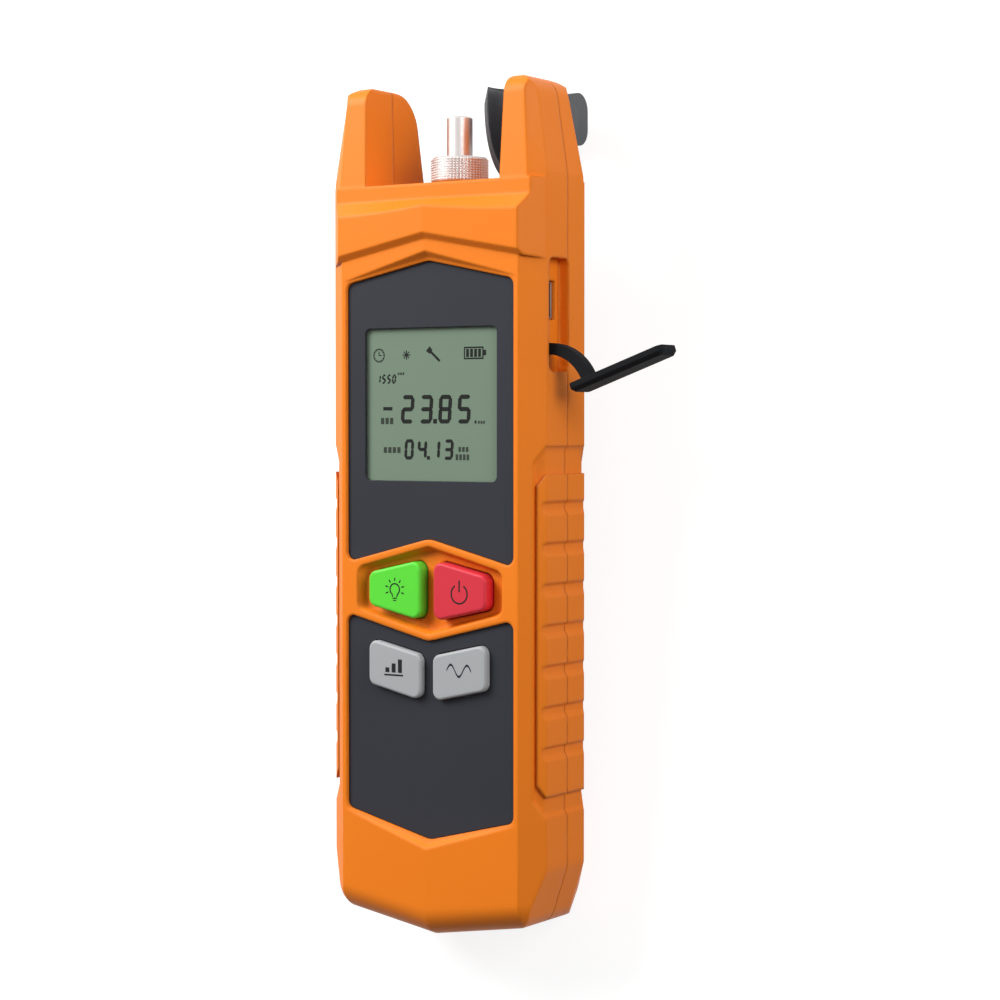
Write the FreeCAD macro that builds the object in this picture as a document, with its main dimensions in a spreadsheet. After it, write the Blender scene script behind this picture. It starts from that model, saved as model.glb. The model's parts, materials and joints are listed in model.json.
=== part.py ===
import FreeCAD, Part
import os
from types import SimpleNamespace
import Sketcher
from FreeCAD import Placement, Rotation, Vector

# Handheld optical power meter, in millimetres.
# The meter is drawn upright on its own axes: x to its right, y along its length towards the guard
# horns, z out of its front.  The flat back lies at z = 0 and depths are measured from the front face.
# At the end every piece gets the same placement, which lays the meter on its back: the lower end and
# the opened dust cover touch the table, so the head stands a few degrees higher than the tail.

DRIVING_SIZES = {
    # housing
    "half_width": 26.45, "thickness": 23.6, "horn_top": 176.5, "notch_depth": 21.0, "split_depth": 11.7,
    "front_chamfer_x": 4.5, "front_chamfer_z": 3.7, "rear_chamfer_x": 4.5, "rear_chamfer_z": 5.3, "ridge": 1.25,
    "wall": 2.0, "front_wall": 2.8, "groove_depth": 0.3, "groove_gap": 0.24,
    # tail
    "tail_corner_margin": 4.05, "tail_corner_y": 3.4, "tail_side_y": 15.5, "tail_front_radius": 5.5,
    "tail_rear_y": 8.0, "tail_rear_side": 7.0, "tail_radius": 5.0,
    # raised band and ledge under the notch, measured down from the shoulder
    "band_rise": 1.0, "band_apex_drop": 11.5, "band_side_drop": 16.6, "ledge_depth": 1.05, "ledge_drop": 3.3,
    # guard horns
    "horn_width": 9.9, "notch_draft": 0.75, "horn_straight": 1.2, "horn_taper": 3.2, "horn_front_lean": 1.25,
    "horn_rear_lean": 4.0, "horn_front_radius": 4.0, "horn_rear_radius": 8.5, "horn_outer_radius": 5.0,
    "horn_inner_radius": 1.0,
    # panels
    "panel_margin": 5.6, "panel_depth": 0.6, "panel_thickness": 0.8, "panel_radius": 1.7,
    "panel_apex_radius": 4.5, "upper_top_apex_drop": 16.0, "upper_top_side_drop": 20.3,
    "upper_low_apex_drop": 73.3, "upper_low_side_drop": 78.6, "lower_top_apex_drop": 94.35,
    "lower_top_side_drop": 89.2, "lower_low_apex": 20.0, "lower_low_side": 25.2,
    # key well
    "well_drop": 83.9, "well_margin": 8.35, "well_side": 4.43, "well_apex": 9.2, "well_depth": 2.0,
    "well_inset": 0.9, "well_floor": 1.6, "well_radius": 2.2,
    # keys
    "key_inner_x": 1.65, "key_length": 13.0, "key_rise": 0.8, "key_gap": 0.25, "key_travel": 0.8,
    "key_inner_half": 6.3, "key_outer_half": 3.4, "grey_inner_x": 1.45, "grey_length": 13.2,
    "grey_inner_low_drop": 106.75, "grey_inner_top_drop": 97.25, "grey_climb": 2.95, "key_radius": 1.8,
    "key_edge": 0.6, "key_flange": 0.7, "key_flange_thickness": 0.8, "key_post_radius": 1.6, "switch_size": 6.0,
    "switch_height": 2.0, "plunger_height": 0.8, "plunger_radius": 1.4,
    # display
    "window_margin": 10.0, "window_low_drop": 61.4, "window_top_drop": 29.7, "window_radius": 1.3,
    "glass_margin": 1.1, "glass_thickness": 2.0, "light_thickness": 1.2, "frame_width": 1.4,
    # board
    "board_depth": 10.1, "board_thickness": 1.2, "board_margin": 5.95, "board_low": 34.0,
    "board_top_drop": 17.5, "post_low_margin": 8.45, "post_low_y": 40.0, "post_top_margin": 13.65,
    "post_top_drop": 23.1, "post_radius": 2.2, "board_screw_radius": 0.8,
    # case screws
    "boss_margin": 8.45, "boss_low_y": 24.5, "boss_drop": 8.5, "boss_radius": 3.3, "case_screw_radius": 1.0,
    "case_head_radius": 2.3, "case_head_height": 1.6, "case_screw_length": 13.0,
    # side grips
    "grip_low": 26.2, "grip_top_drop": 54.1, "grip_reach": 2.25, "grip_recess": 0.7, "pad_low": 30.4,
    "pad_top_drop": 59.7, "pad_reach": 1.6, "rib_first_y": 39.2, "rib_pitch": 8.28, "rib_half": 1.5,
    "rib_depth": 0.75,
    # port recess, cover and socket
    "port_low_drop": 39.1, "port_length": 23.1, "port_front": 4.5, "port_rear": 12.2, "port_recess": 2.25,
    "port_radius": 1.6, "port_wall": 2.0, "hinge_inset": 1.05, "hinge_drop": 5.4, "strap_arm": 10.1,
    "strap_thickness": 2.3, "strap_front": 5.3, "strap_width": 2.6, "plate_start": 5.75, "plate_thickness": 1.9,
    "plate_open_angle": 19.8, "plate_gap": 0.3, "slot_gap": 0.35, "socket_rise": 14.6, "socket_width": 7.6,
    "socket_height": 2.5, "socket_length": 6.4, "socket_mouth": 0.6, "socket_skin": 0.35,
    # detector and adapter, measured from the shoulder
    "axis_depth": 11.7, "barrel_radius": 4.0, "barrel_rise": 4.1, "barrel_drop": 9.5, "barrel_bore": 2.66,
    "collar_radius": 5.2, "collar_height": 0.5, "barrel_nut_radius": 6.6, "barrel_nut_height": 2.4,
    "nut_radius": 5.87, "nut_height": 5.3, "tube_radius": 2.69, "tube_rise": 14.4, "running_gap": 0.06,
    "flange_radius": 4.4, "flange_height": 1.0, "spigot_length": 3.4, "sleeve_radius": 1.9,
    "sleeve_length": 8.4, "ferrule_radius": 1.255, "light_bore": 1.65, "tube_mouth": 0.4, "diode_radius": 2.3,
    "diode_length": 4.0,
    # dust cover, measured from its pivot
    "cover_pivot_depth": 22.7, "cover_pivot_drop": 7.0, "cover_radius": 7.0, "cover_wall": 0.9,
    "cover_rim": 10.8, "cover_straight": 5.5, "cover_dome": 16.8, "cover_dome_wall": 2.2, "cover_side": 2.0,
    "cover_bevel": 1.2, "hub_radius": 4.8, "arm_width": 3.1, "arm_gap": 0.25, "arm_low": 4.3, "arm_top": 7.5,
    "arm_reach": 13.8, "arm_radius": 3.6, "web_reach": 8.3, "web_low": 2.5, "web_top": 6.0,
    "bracket_root_depth": 17.8, "lug_width": 3.5, "lug_gap": 0.35, "lug_radius": 3.5, "pin_radius": 1.1,
    "pin_head": 0.7, "pin_seat": 2.6,
    # battery
    "battery_margin": 10.45, "battery_low": 44.0, "battery_top_drop": 59.5, "battery_thickness": 6.0,
    "pad_thickness": 1.2,
    # how the meter lies
    "rest_tilt": 5.919,
}


class Size:
    """A length that knows both its number and its spelling as a spreadsheet expression."""

    def __init__(self, text, number):
        self.text = text
        self.number = number

    def _joined(self, sign, other, number):
        return Size(f"({self.text} {sign} {size(other).text})", number)

    def __add__(self, other):
        return self._joined("+", other, self.number + size(other).number)

    def __sub__(self, other):
        return self._joined("-", other, self.number - size(other).number)

    def __mul__(self, other):
        return self._joined("*", other, self.number * size(other).number)

    def __truediv__(self, other):
        return self._joined("/", other, self.number / size(other).number)

    def __neg__(self):
        return Size(f"(0 - {self.text})", -self.number)

    def __radd__(self, other):
        return size(other) + self

    def __rsub__(self, other):
        return size(other) - self

    def __rmul__(self, other):
        return size(other) * self

    def __rtruediv__(self, other):
        return size(other) / self


def size(value):
    """A Size as it is, or a plain number as one."""
    return value if isinstance(value, Size) else Size(f"({value})", float(value))


DOC = FreeCAD.newDocument("OpticalPowerMeter")
SHEET = DOC.addObject("Spreadsheet::Sheet", "Sizes")
for row, (alias, number) in enumerate(DRIVING_SIZES.items(), start=1):
    SHEET.set(f"A{row}", alias)
    SHEET.set(f"B{row}", str(number))
    SHEET.setAlias(f"B{row}", alias)
DOC.recompute()
d = SimpleNamespace(**{alias: Size(f"Sizes.{alias}", float(SHEET.get(alias))) for alias in DRIVING_SIZES})

# Places that follow from the driving sizes
d.shoulder = d.horn_top - d.notch_depth
d.tail_corner_x = d.half_width - d.tail_corner_margin
d.upper_top_apex = d.shoulder - d.upper_top_apex_drop
d.upper_top_side = d.shoulder - d.upper_top_side_drop
d.upper_low_apex = d.shoulder - d.upper_low_apex_drop
d.upper_low_side = d.shoulder - d.upper_low_side_drop
d.lower_top_apex = d.shoulder - d.lower_top_apex_drop
d.lower_top_side = d.shoulder - d.lower_top_side_drop
d.well_y = d.shoulder - d.well_drop
d.grey_inner_low = d.shoulder - d.grey_inner_low_drop
d.grey_inner_top = d.shoulder - d.grey_inner_top_drop
d.window_low = d.shoulder - d.window_low_drop
d.window_top = d.shoulder - d.window_top_drop
d.board_top = d.shoulder - d.board_top_drop
d.post_top_y = d.shoulder - d.post_top_drop
d.grip_top = d.shoulder - d.grip_top_drop
d.pad_top = d.shoulder - d.pad_top_drop
d.port_low = d.shoulder - d.port_low_drop
d.battery_top = d.shoulder - d.battery_top_drop
d.band_apex_y = d.shoulder - d.band_apex_drop
d.band_side_y = d.shoulder - d.band_side_drop
d.ledge_top_y = d.shoulder - d.ledge_drop
d.notch_half = d.half_width - d.horn_width
d.panel_half = d.half_width - d.panel_margin
d.well_half = d.half_width - d.well_margin
d.key_outer_x = d.key_inner_x + d.key_length
d.grey_outer_x = d.grey_inner_x + d.grey_length
d.window_half = d.half_width - d.window_margin
d.glass_half = d.window_half + d.glass_margin
d.board_half = d.half_width - d.board_margin
d.post_low_x = d.half_width - d.post_low_margin
d.post_top_x = d.half_width - d.post_top_margin
d.boss_x = d.half_width - d.boss_margin
d.boss_top_y = d.shoulder - d.boss_drop
d.grip_inner_x = d.half_width - d.grip_reach
d.pad_inner_x = d.half_width - d.pad_reach
d.port_top = d.port_low + d.port_length
d.hinge_x = d.half_width - d.hinge_inset
d.hinge_y = d.port_low - d.hinge_drop
d.socket_y = d.port_low + d.socket_rise
d.barrel_top = d.shoulder + d.barrel_rise
d.barrel_low = d.shoulder - d.barrel_drop
d.nut_low = d.shoulder + d.collar_height + 0.1
d.nut_top = d.nut_low + d.nut_height
d.tube_top = d.shoulder + d.tube_rise
d.plate_length = d.port_length - d.plate_gap * 2
d.cover_pivot_y = d.horn_top - d.cover_pivot_drop
d.cover_rim_y = d.cover_pivot_y + d.cover_rim
d.cover_dome_y = d.cover_pivot_y + d.cover_straight
d.arm_outer_x = d.notch_half - d.arm_gap
d.arm_inner_x = d.arm_outer_x - d.arm_width
d.arm_depth = d.cover_pivot_depth + d.arm_reach
d.web_front_depth = d.cover_pivot_depth + d.web_reach
d.arm_low_y = d.cover_pivot_y - d.arm_low
d.arm_top_y = d.cover_pivot_y + d.arm_top
d.web_low_y = d.cover_pivot_y - d.web_low
d.web_top_y = d.cover_pivot_y + d.web_top
d.lug_inner_x = d.arm_outer_x + d.lug_gap
d.lug_outer_x = d.lug_inner_x + d.lug_width
d.pin_end_x = d.lug_inner_x + d.pin_seat
d.battery_half = d.half_width - d.battery_margin

# Sketch planes: the turn of the sketch, and the way its profile is extruded.
PLANES = {
    "front": (Rotation(), Vector(0, 0, 1), "z"),
    "section": (Rotation(Vector(1, 0, 0), 90), Vector(0, 1, 0), "y"),
    "side": (Rotation(Vector(1, 1, 1), 120), Vector(1, 0, 0), "x"),
}
CYLINDER_TURNS = {
    "x": Rotation(Vector(0, 1, 0), 90),
    "y": Rotation(Vector(1, 0, 0), -90),
    "z": Rotation(),
}
NODES = []


def bind(item, name, length):
    """Tie one property of an object to the sheet."""
    item.setExpression(name, size(length).text)


def at_depth(depth):
    """Height above the back of what lies this deep under the front face."""
    return d.thickness - depth


def sketch(name, plane, points, start=0):
    """A closed outline of straight lines, each corner tied to the sheet."""
    outline = DOC.addObject("Sketcher::SketchObject", name)
    turn, normal, axis = PLANES[plane]
    start = size(start)
    outline.Placement = Placement(normal * start.number, turn)
    bind(outline, f"Placement.Base.{axis}", start)
    corners = [(size(across), size(up)) for across, up in points]
    vectors = [Vector(across.number, up.number, 0) for across, up in corners]
    lines = [Part.LineSegment(a, b) for a, b in zip(vectors, vectors[1:] + vectors[:1])]
    outline.addGeometry(lines)
    last = len(corners) - 1
    for index in range(len(corners)):
        following = 0 if index == last else index + 1
        outline.addConstraint(Sketcher.Constraint("Coincident", index, 2, following, 1))
    for index, (across, up) in enumerate(corners):
        for kind, length in (("DistanceX", across), ("DistanceY", up)):
            place = outline.addConstraint(Sketcher.Constraint(kind, -1, 1, index, 1, length.number))
            outline.setExpression(f"Constraints[{place}]", length.text)
    return outline


def prism(name, plane, points, start, length, radii=None):
    """An outline extruded square to its plane; radii rounds the corners it names by index."""
    solid = DOC.addObject("Part::Extrusion", name if radii is None else f"{name}_block")
    solid.Base = sketch(f"{name}_outline", plane, points, start)
    solid.DirMode = "Custom"
    solid.Dir = PLANES[plane][1]
    solid.Solid = True
    bind(solid, "LengthFwd", length)
    if radii is None:
        return solid
    return rounded_corners(name, solid, plane, points, radii)


def rounded_corners(name, solid, plane, points, radii):
    """Round the long edges of a prism that stand on the named corners of its outline."""
    DOC.recompute()
    turn, normal, _ = PLANES[plane]
    corners = {index: turn.multVec(Vector(size(points[index][0]).number, size(points[index][1]).number, 0))
               for index in radii}
    edges = []
    for number, edge in enumerate(solid.Shape.Edges, start=1):
        first, last = edge.Vertexes[0].Point, edge.Vertexes[-1].Point
        if (last - first).cross(normal).Length > 1e-6:
            continue
        for index, corner in corners.items():
            if (first - corner).cross(normal).Length < 1e-4:
                radius = size(radii[index]).number
                edges.append((number, radius, radius))
    smooth = DOC.addObject("Part::Fillet", name)
    smooth.Base = solid
    smooth.Edges = edges
    return smooth


def fillet(name, solid, radius, chosen):
    """Round each edge that the test picks."""
    DOC.recompute()
    radius = size(radius).number
    smooth = DOC.addObject("Part::Fillet", name)
    smooth.Base = solid
    smooth.Edges = [(number, radius, radius) for number, edge in enumerate(solid.Shape.Edges, start=1)
                    if chosen(edge)]
    return smooth


def chamfer(name, solid, first, second, chosen):
    """Bevel each edge that the test picks."""
    DOC.recompute()
    first, second = size(first).number, size(second).number
    bevel = DOC.addObject("Part::Chamfer", name)
    bevel.Base = solid
    bevel.Edges = [(number, first, second) for number, edge in enumerate(solid.Shape.Edges, start=1)
                   if chosen(edge)]
    return bevel


def box(name, x_span, y_span, z_span):
    """A block between pairs of coordinates."""
    block = DOC.addObject("Part::Box", name)
    for axis, side, (low, high) in zip("xyz", ("Length", "Width", "Height"), (x_span, y_span, z_span)):
        bind(block, f"Placement.Base.{axis}", low)
        bind(block, side, size(high) - low)
    return block


def cylinder(name, axis, centre, radius, start, end):
    """A round bar along one axis; centre gives its place on the other two, in x, y, z order."""
    bar = DOC.addObject("Part::Cylinder", name)
    bar.Placement = Placement(Vector(), CYLINDER_TURNS[axis])
    for side, place in zip([letter for letter in "xyz" if letter != axis], centre):
        bind(bar, f"Placement.Base.{side}", place)
    bind(bar, f"Placement.Base.{axis}", start)
    bind(bar, "Radius", radius)
    bind(bar, "Height", size(end) - start)
    return bar


def turned(name, points):
    """A profile of radius against y, revolved about the adapter's axis."""
    solid = DOC.addObject("Part::Revolution", name)
    solid.Source = sketch(f"{name}_profile", "front", points, AXIS_Z)
    solid.Axis = Vector(0, 1, 0)
    bind(solid, "Base.z", AXIS_Z)
    solid.Angle = 360
    solid.Solid = True
    return solid


def loft(name, sections):
    """Straight faces between outlines with the same number of corners."""
    solid = DOC.addObject("Part::Loft", name)
    solid.Sections = sections
    solid.Solid = True
    solid.Ruled = True
    return solid


def fused(name, *parts):
    """All parts as one."""
    union = DOC.addObject("Part::MultiFuse", name)
    union.Shapes = list(parts)
    union.Refine = True
    return union


def common(name, *parts):
    """What all parts share."""
    shared = DOC.addObject("Part::MultiCommon", name)
    shared.Shapes = list(parts)
    return shared


def cut(name, base, *tools):
    """The base without the tools."""
    rest = DOC.addObject("Part::Cut", name)
    rest.Base = base
    rest.Tool = tools[0] if len(tools) == 1 else fused(f"{name}_tools", *tools)
    rest.Refine = True
    return rest


def mirrored(name, source):
    """The same piece on the other side of the meter's centre plane."""
    twin = DOC.addObject("Part::Mirroring", name)
    twin.Source = source
    twin.Normal = Vector(1, 0, 0)
    return twin


def shaped(name, shape):
    """A piece whose shape the script makes itself."""
    piece = DOC.addObject("Part::Feature", name)
    piece.Shape = shape
    return piece


def node(name, source):
    """Name a finished sub-part; its placement comes with the others' at the end."""
    piece = DOC.addObject("Part::Refine", name)
    piece.Source = source
    piece.Label = name
    NODES.append(piece)
    return piece


def both_sides(points):
    """A right-hand outline, listed from the centre line outwards, closed with its mirror image."""
    points = [(size(across), size(up)) for across, up in points]
    left = [(-across, up) for across, up in reversed(points) if across.number > 0]
    return points + left


AXIS_Z = at_depth(d.axis_depth)
SPLIT_Z = at_depth(d.split_depth)
FRONT_EDGE_X = d.half_width - d.front_chamfer_x
REAR_EDGE_X = d.half_width - d.rear_chamfer_x


# ---------------------------------------------------------------------------------------------
# Housing, as one closed form before it is hollowed and split
# ---------------------------------------------------------------------------------------------

TAIL_STEEPNESS = (d.tail_side_y - d.tail_corner_y) / (d.half_width - d.tail_corner_x)


def tail_bevel_outline(name, height, low, climb, side_inset):
    """Front outline of the tail at one height of the back's bevel; its edges stay parallel at every height."""
    reach = d.half_width + 1
    corner_x = (low - side_inset - d.tail_corner_y + TAIL_STEEPNESS * d.tail_corner_x) / (TAIL_STEEPNESS - climb)
    return sketch(name, "front", both_sides([
        (0, low),
        (corner_x, low + corner_x * climb),
        (reach, d.tail_side_y + TAIL_STEEPNESS + side_inset),
        (reach, d.shoulder + 1),
    ]), height)


def rear_tail_outline(name, height):
    """Outline of the bevel at the back, whose straight lower edge the meter rests on."""
    share = 1 - height / d.rear_chamfer_z
    return tail_bevel_outline(name, height, d.tail_rear_y * share, size(0), d.tail_rear_side * share)


def section_points(inset=0.0):
    """Cross-section of the housing, optionally drawn in all round."""
    slant = size(inset) * 0.45
    return both_sides([
        (0, d.thickness + d.ridge - inset),
        (FRONT_EDGE_X - slant, d.thickness - inset),
        (d.half_width - inset, at_depth(d.front_chamfer_z) - slant),
        (d.half_width - inset, d.rear_chamfer_z + slant),
        (REAR_EDGE_X - slant, inset),
    ])


def housing_core():
    """Roof-fronted bar with chamfered sides and a bevelled, pointed tail."""
    bar = prism("core_bar", "section", section_points(), -5, d.shoulder + 5)
    corners = both_sides([
        (0, 0),
        (d.tail_corner_x, d.tail_corner_y),
        (d.half_width, d.tail_side_y),
        (d.half_width, d.shoulder),
    ])
    sharp = common("core_blank", bar, prism("core_plan_sharp", "front", corners, -1, d.thickness + 5))
    reach = d.tail_corner_y.number + 4
    rounded = fillet("core_rounded", sharp, d.tail_front_radius,
                     lambda edge: edge.BoundBox.YMax < reach and edge.BoundBox.ZMin > at_depth(8).number
                     and edge.BoundBox.XLength > edge.BoundBox.ZLength)
    plan = prism("core_plan", "front", corners, -1, d.thickness + 5,
                 {1: d.tail_radius, 2: d.tail_radius, 5: d.tail_radius, 6: d.tail_radius})
    rear_bevel = loft("tail_rear_bevel", [rear_tail_outline("tail_rear_low", size(-1)),
                                          rear_tail_outline("tail_rear_top", d.thickness + 3)])
    return common("core", rounded, plan, rear_bevel)


def raised_band():
    """Band under the notch that stands proud of the roof, with bevelled lower edge."""
    outline = both_sides([
        (0, d.thickness + d.ridge + d.band_rise),
        (FRONT_EDGE_X + d.band_rise * 0.3, d.thickness + d.band_rise),
        (d.half_width, at_depth(d.front_chamfer_z)),
        (d.half_width, at_depth(d.front_chamfer_z) - d.band_rise),
    ])
    bar = prism("band_bar", "section", outline, d.band_side_y - 8, d.shoulder - d.band_side_y + 8)
    plan = prism("band_plan", "front", both_sides([
        (0, d.band_apex_y),
        (d.half_width + 1, d.band_side_y),
        (d.half_width + 1, d.shoulder),
    ]), 0, d.thickness + 6)
    reach = d.half_width + 1
    block = common("band_block", bar, plan,
                   box("band_right_room", (0, reach), (d.band_side_y - 8, d.shoulder + 1), (0, d.thickness + 6)))
    floor = at_depth(d.front_chamfer_z).number

    def lower_front(edge):
        points = [vertex.Point for vertex in edge.Vertexes]
        low = all(point.y < d.band_apex_y.number + 0.01 for point in points)
        front = all(point.z > floor + 0.1 for point in points)
        across = abs(points[0].x - points[-1].x) > 0.5
        return low and front and across

    right = chamfer("band_right", block, d.band_rise * 1.1, d.band_rise * 0.95, lower_front)
    return fused("band", right, mirrored("band_left", right))


def ledge_tool():
    """What is cut away above the ledge, so that the head lies deeper than the band."""
    top = d.horn_top + 5
    front = d.thickness + 4
    face = at_depth(d.ledge_depth)
    reach = d.half_width + 1

    def outline(name, across, low):
        return sketch(name, "side", [(low, front), (d.ledge_top_y, face), (top, face), (top, front)], across)

    centre_low = d.ledge_top_y - 2.2
    side_low = d.ledge_top_y - 8.6
    return loft("ledge_tool", [
        outline("ledge_left", -reach, side_low),
        outline("ledge_centre", 0, centre_low),
        outline("ledge_right", reach, side_low),
    ])


def horn():
    """Right guard horn: a leaning, tapering bar with rounded top."""
    rise = d.horn_top - d.ledge_top_y
    crease = d.front_chamfer_x * d.ledge_depth / d.front_chamfer_z

    def outline(name, height, inner, taper, front, rear):
        return sketch(name, "section", [
            (inner, at_depth(front)),
            (FRONT_EDGE_X + crease - taper * 0.45, at_depth(front)),
            (d.half_width - taper, at_depth(d.front_chamfer_z) - (front - d.ledge_depth) * 0.8),
            (d.half_width - taper, d.rear_chamfer_z + rear * 0.7),
            (REAR_EDGE_X - taper * 0.45, rear),
            (inner, rear),
        ], height)

    straight_top = d.shoulder + d.horn_straight
    share = (straight_top - d.ledge_top_y) / (rise + 1)
    body = loft("horn_body", [
        outline("horn_base", d.ledge_top_y, d.notch_half, size(0), d.ledge_depth, size(0)),
        outline("horn_bend", straight_top, d.notch_half + d.notch_draft * share, size(0),
                d.ledge_depth + d.horn_front_lean * share, d.horn_rear_lean * share),
        outline("horn_tip", d.horn_top + 1, d.notch_half + d.notch_draft, d.horn_taper,
                d.ledge_depth + d.horn_front_lean, d.horn_rear_lean),
    ])
    lean = rise + 1
    side = prism("horn_side", "side", [
        (d.ledge_top_y - 1, at_depth(d.ledge_depth) + d.horn_front_lean / lean),
        (d.ledge_top_y - 1, -d.horn_rear_lean / lean),
        (d.horn_top, d.horn_rear_lean * rise / lean),
        (d.horn_top, at_depth(d.ledge_depth) - d.horn_front_lean * rise / lean),
    ], d.notch_half - 2, d.half_width, {2: d.horn_rear_radius, 3: d.horn_front_radius})
    front = prism("horn_front", "front", [
        (d.notch_half, d.ledge_top_y - 1),
        (d.half_width, d.ledge_top_y - 1),
        (d.half_width, straight_top),
        (d.half_width - d.horn_taper * rise / lean, d.horn_top),
        (d.notch_half + d.notch_draft * rise / lean, d.horn_top),
    ], -1, d.thickness + 4, {3: d.horn_outer_radius, 4: d.horn_inner_radius})
    return common("horn_right", body, side, front)


def rear_shoulder_tool():
    """Slope that carries the horns' leaning backs down into the flat back."""
    lean = (d.horn_top + 1 - d.ledge_top_y) / d.horn_rear_lean
    reach = 12
    return prism("rear_shoulder_tool", "side", [
        (d.ledge_top_y, 0),
        (d.ledge_top_y + reach, reach / lean),
        (d.ledge_top_y + reach, -1),
        (d.ledge_top_y, -1),
    ], -d.half_width - 1, (d.half_width + 1) * 2)


def panel_field_tool():
    """Flat field between the two roofed ends, with sloping end walls."""
    top, low = d.upper_top_apex, d.lower_low_apex
    climb_top = d.upper_top_apex - d.upper_top_side
    climb_low = d.lower_low_side - d.lower_low_apex
    reach = 4
    out = d.half_width + 3
    ratio = out / d.panel_half

    def outline(name, height, spread):
        return sketch(name, "front", both_sides([
            (0, low - spread * 0.93),
            (out, low + climb_low * ratio - spread * 0.93),
            (out, top - climb_top * ratio + spread),
            (0, top + spread),
        ]), height)

    return loft("panel_field_tool", [
        outline("field_floor", d.thickness, d.panel_depth),
        outline("field_top", d.thickness + reach, d.panel_depth + reach),
    ])


def chevron(half, low_apex, low_side, top_side, top_apex):
    """Outline with pointed ends, as both panels and the key well have."""
    return both_sides([(0, low_apex), (half, low_side), (half, top_side), (0, top_apex)])


def upper_outline(gap=0.0):
    """Corners of the upper panel, drawn in by a gap."""
    return chevron(d.panel_half - gap, d.upper_low_apex + gap, d.upper_low_side + gap,
                   d.upper_top_side - gap, d.upper_top_apex - gap)


def lower_outline(gap=0.0):
    """Corners of the lower panel, drawn in by a gap."""
    return chevron(d.panel_half - gap, d.lower_low_apex + gap, d.lower_low_side + gap,
                   d.lower_top_side - gap, d.lower_top_apex - gap)


PANEL_ROUNDING = {1: d.panel_radius, 2: d.panel_radius, 4: d.panel_radius, 5: d.panel_radius,
                  0: d.panel_apex_radius, 3: d.panel_apex_radius}


def well_tool():
    """Six-sided well with sloping walls for the two coloured keys."""
    def outline(name, height, inset):
        half = d.well_half - inset
        side = d.well_side - inset * 0.6
        apex = d.well_apex - inset
        return sketch(name, "front", chevron(half, d.well_y - apex, d.well_y - side, d.well_y + side,
                                             d.well_y + apex), height)

    over = 1
    grow = d.well_inset * over / d.well_depth
    tool = loft("well_block", [
        outline("well_floor_outline", at_depth(d.well_depth), d.well_inset),
        outline("well_rim_outline", d.thickness + over, -grow),
    ])

    def corner(edge):
        return abs(edge.Vertexes[0].Point.z - edge.Vertexes[-1].Point.z) > 1

    return fillet("well_tool", tool, d.well_radius, corner)


def grip_tools():
    """Recess round the right-hand grip pad and the scoops between its ribs."""
    tip = d.half_width + 2

    def wrap(name, inner, low, high, slope):
        return prism(name, "front", [
            (inner, low + slope), (d.half_width - 0.2, low), (tip, low),
            (tip, high), (d.half_width - 0.2, high), (inner, high - slope),
        ], 0.5, d.thickness)

    recess = wrap("grip_recess_right", d.grip_inner_x, d.grip_low, d.grip_top, size(3.4))
    pad = wrap("grip_pad_right", d.pad_inner_x, d.pad_low, d.pad_top, size(2.4))
    depth = prism("grip_floor", "section", section_points(d.grip_recess), 0, d.shoulder)
    moat = cut("grip_moat", recess, pad, depth)
    rib_count = int((d.pad_top.number - d.rib_first_y.number) / d.rib_pitch.number) + 1
    ribs = [scoop(f"rib_{index}", d.rib_first_y + d.rib_pitch * index) for index in range(rib_count)]
    return fused("grip_right", moat, *ribs)


def scoop(name, y):
    """Finger scoop across the right side: steep above, easing out below."""
    outer = d.half_width + d.rib_depth
    floor = d.half_width - d.rib_depth
    return prism(name, "front", [
        (outer, y - d.rib_half * 1.9), (floor, y - d.rib_half * 0.15),
        (floor, y + d.rib_half * 0.6), (outer, y + d.rib_half * 1.4),
    ], -1, at_depth(d.front_chamfer_z * 0.85) + 1)


def port_recess_tool():
    """Rounded slot in the right side that the port cover fills when shut."""
    floor = d.half_width - d.port_recess
    return prism("port_recess_tool", "side", [
        (d.port_low, at_depth(d.port_rear)), (d.port_top, at_depth(d.port_rear)),
        (d.port_top, at_depth(d.port_front)), (d.port_low, at_depth(d.port_front)),
    ], floor, d.port_recess + 2, {index: d.port_radius for index in range(4)})


def outer_form(port_recess):
    """The whole outside of the housing."""
    core = cut("core_stepped", fused("core_banded", housing_core(), raised_band()), ledge_tool())
    core = cut("core_sloped", core, rear_shoulder_tool())
    right = horn()
    body = fused("outer_body", core, right, mirrored("horn_left", right))
    grip = grip_tools()
    body = cut("outer_recessed", body, panel_field_tool(), grip, mirrored("grip_left", grip))
    return cut("outer_form", body, port_recess)


def cavity():
    """Inside of the housing."""
    side = d.half_width - d.wall
    section = both_sides([
        (0, at_depth(d.front_wall)),
        (FRONT_EDGE_X - 0.5, at_depth(d.front_wall)),
        (side, at_depth(d.front_chamfer_z) - d.wall * 0.85),
        (side, d.rear_chamfer_z + d.wall * 0.5),
        (REAR_EDGE_X - 0.5, d.wall),
    ])
    bar = prism("cavity_bar", "section", section, 0, d.shoulder - d.wall)
    plan = prism("cavity_plan", "front", both_sides([
        (0, d.wall * 3.5),
        (d.tail_corner_x - d.wall, d.tail_corner_y + d.wall * 3.3),
        (side, d.tail_side_y + d.wall * 2.7),
        (side, d.shoulder - d.wall),
    ]), 0, d.thickness)
    return common("cavity", bar, plan)


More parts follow.
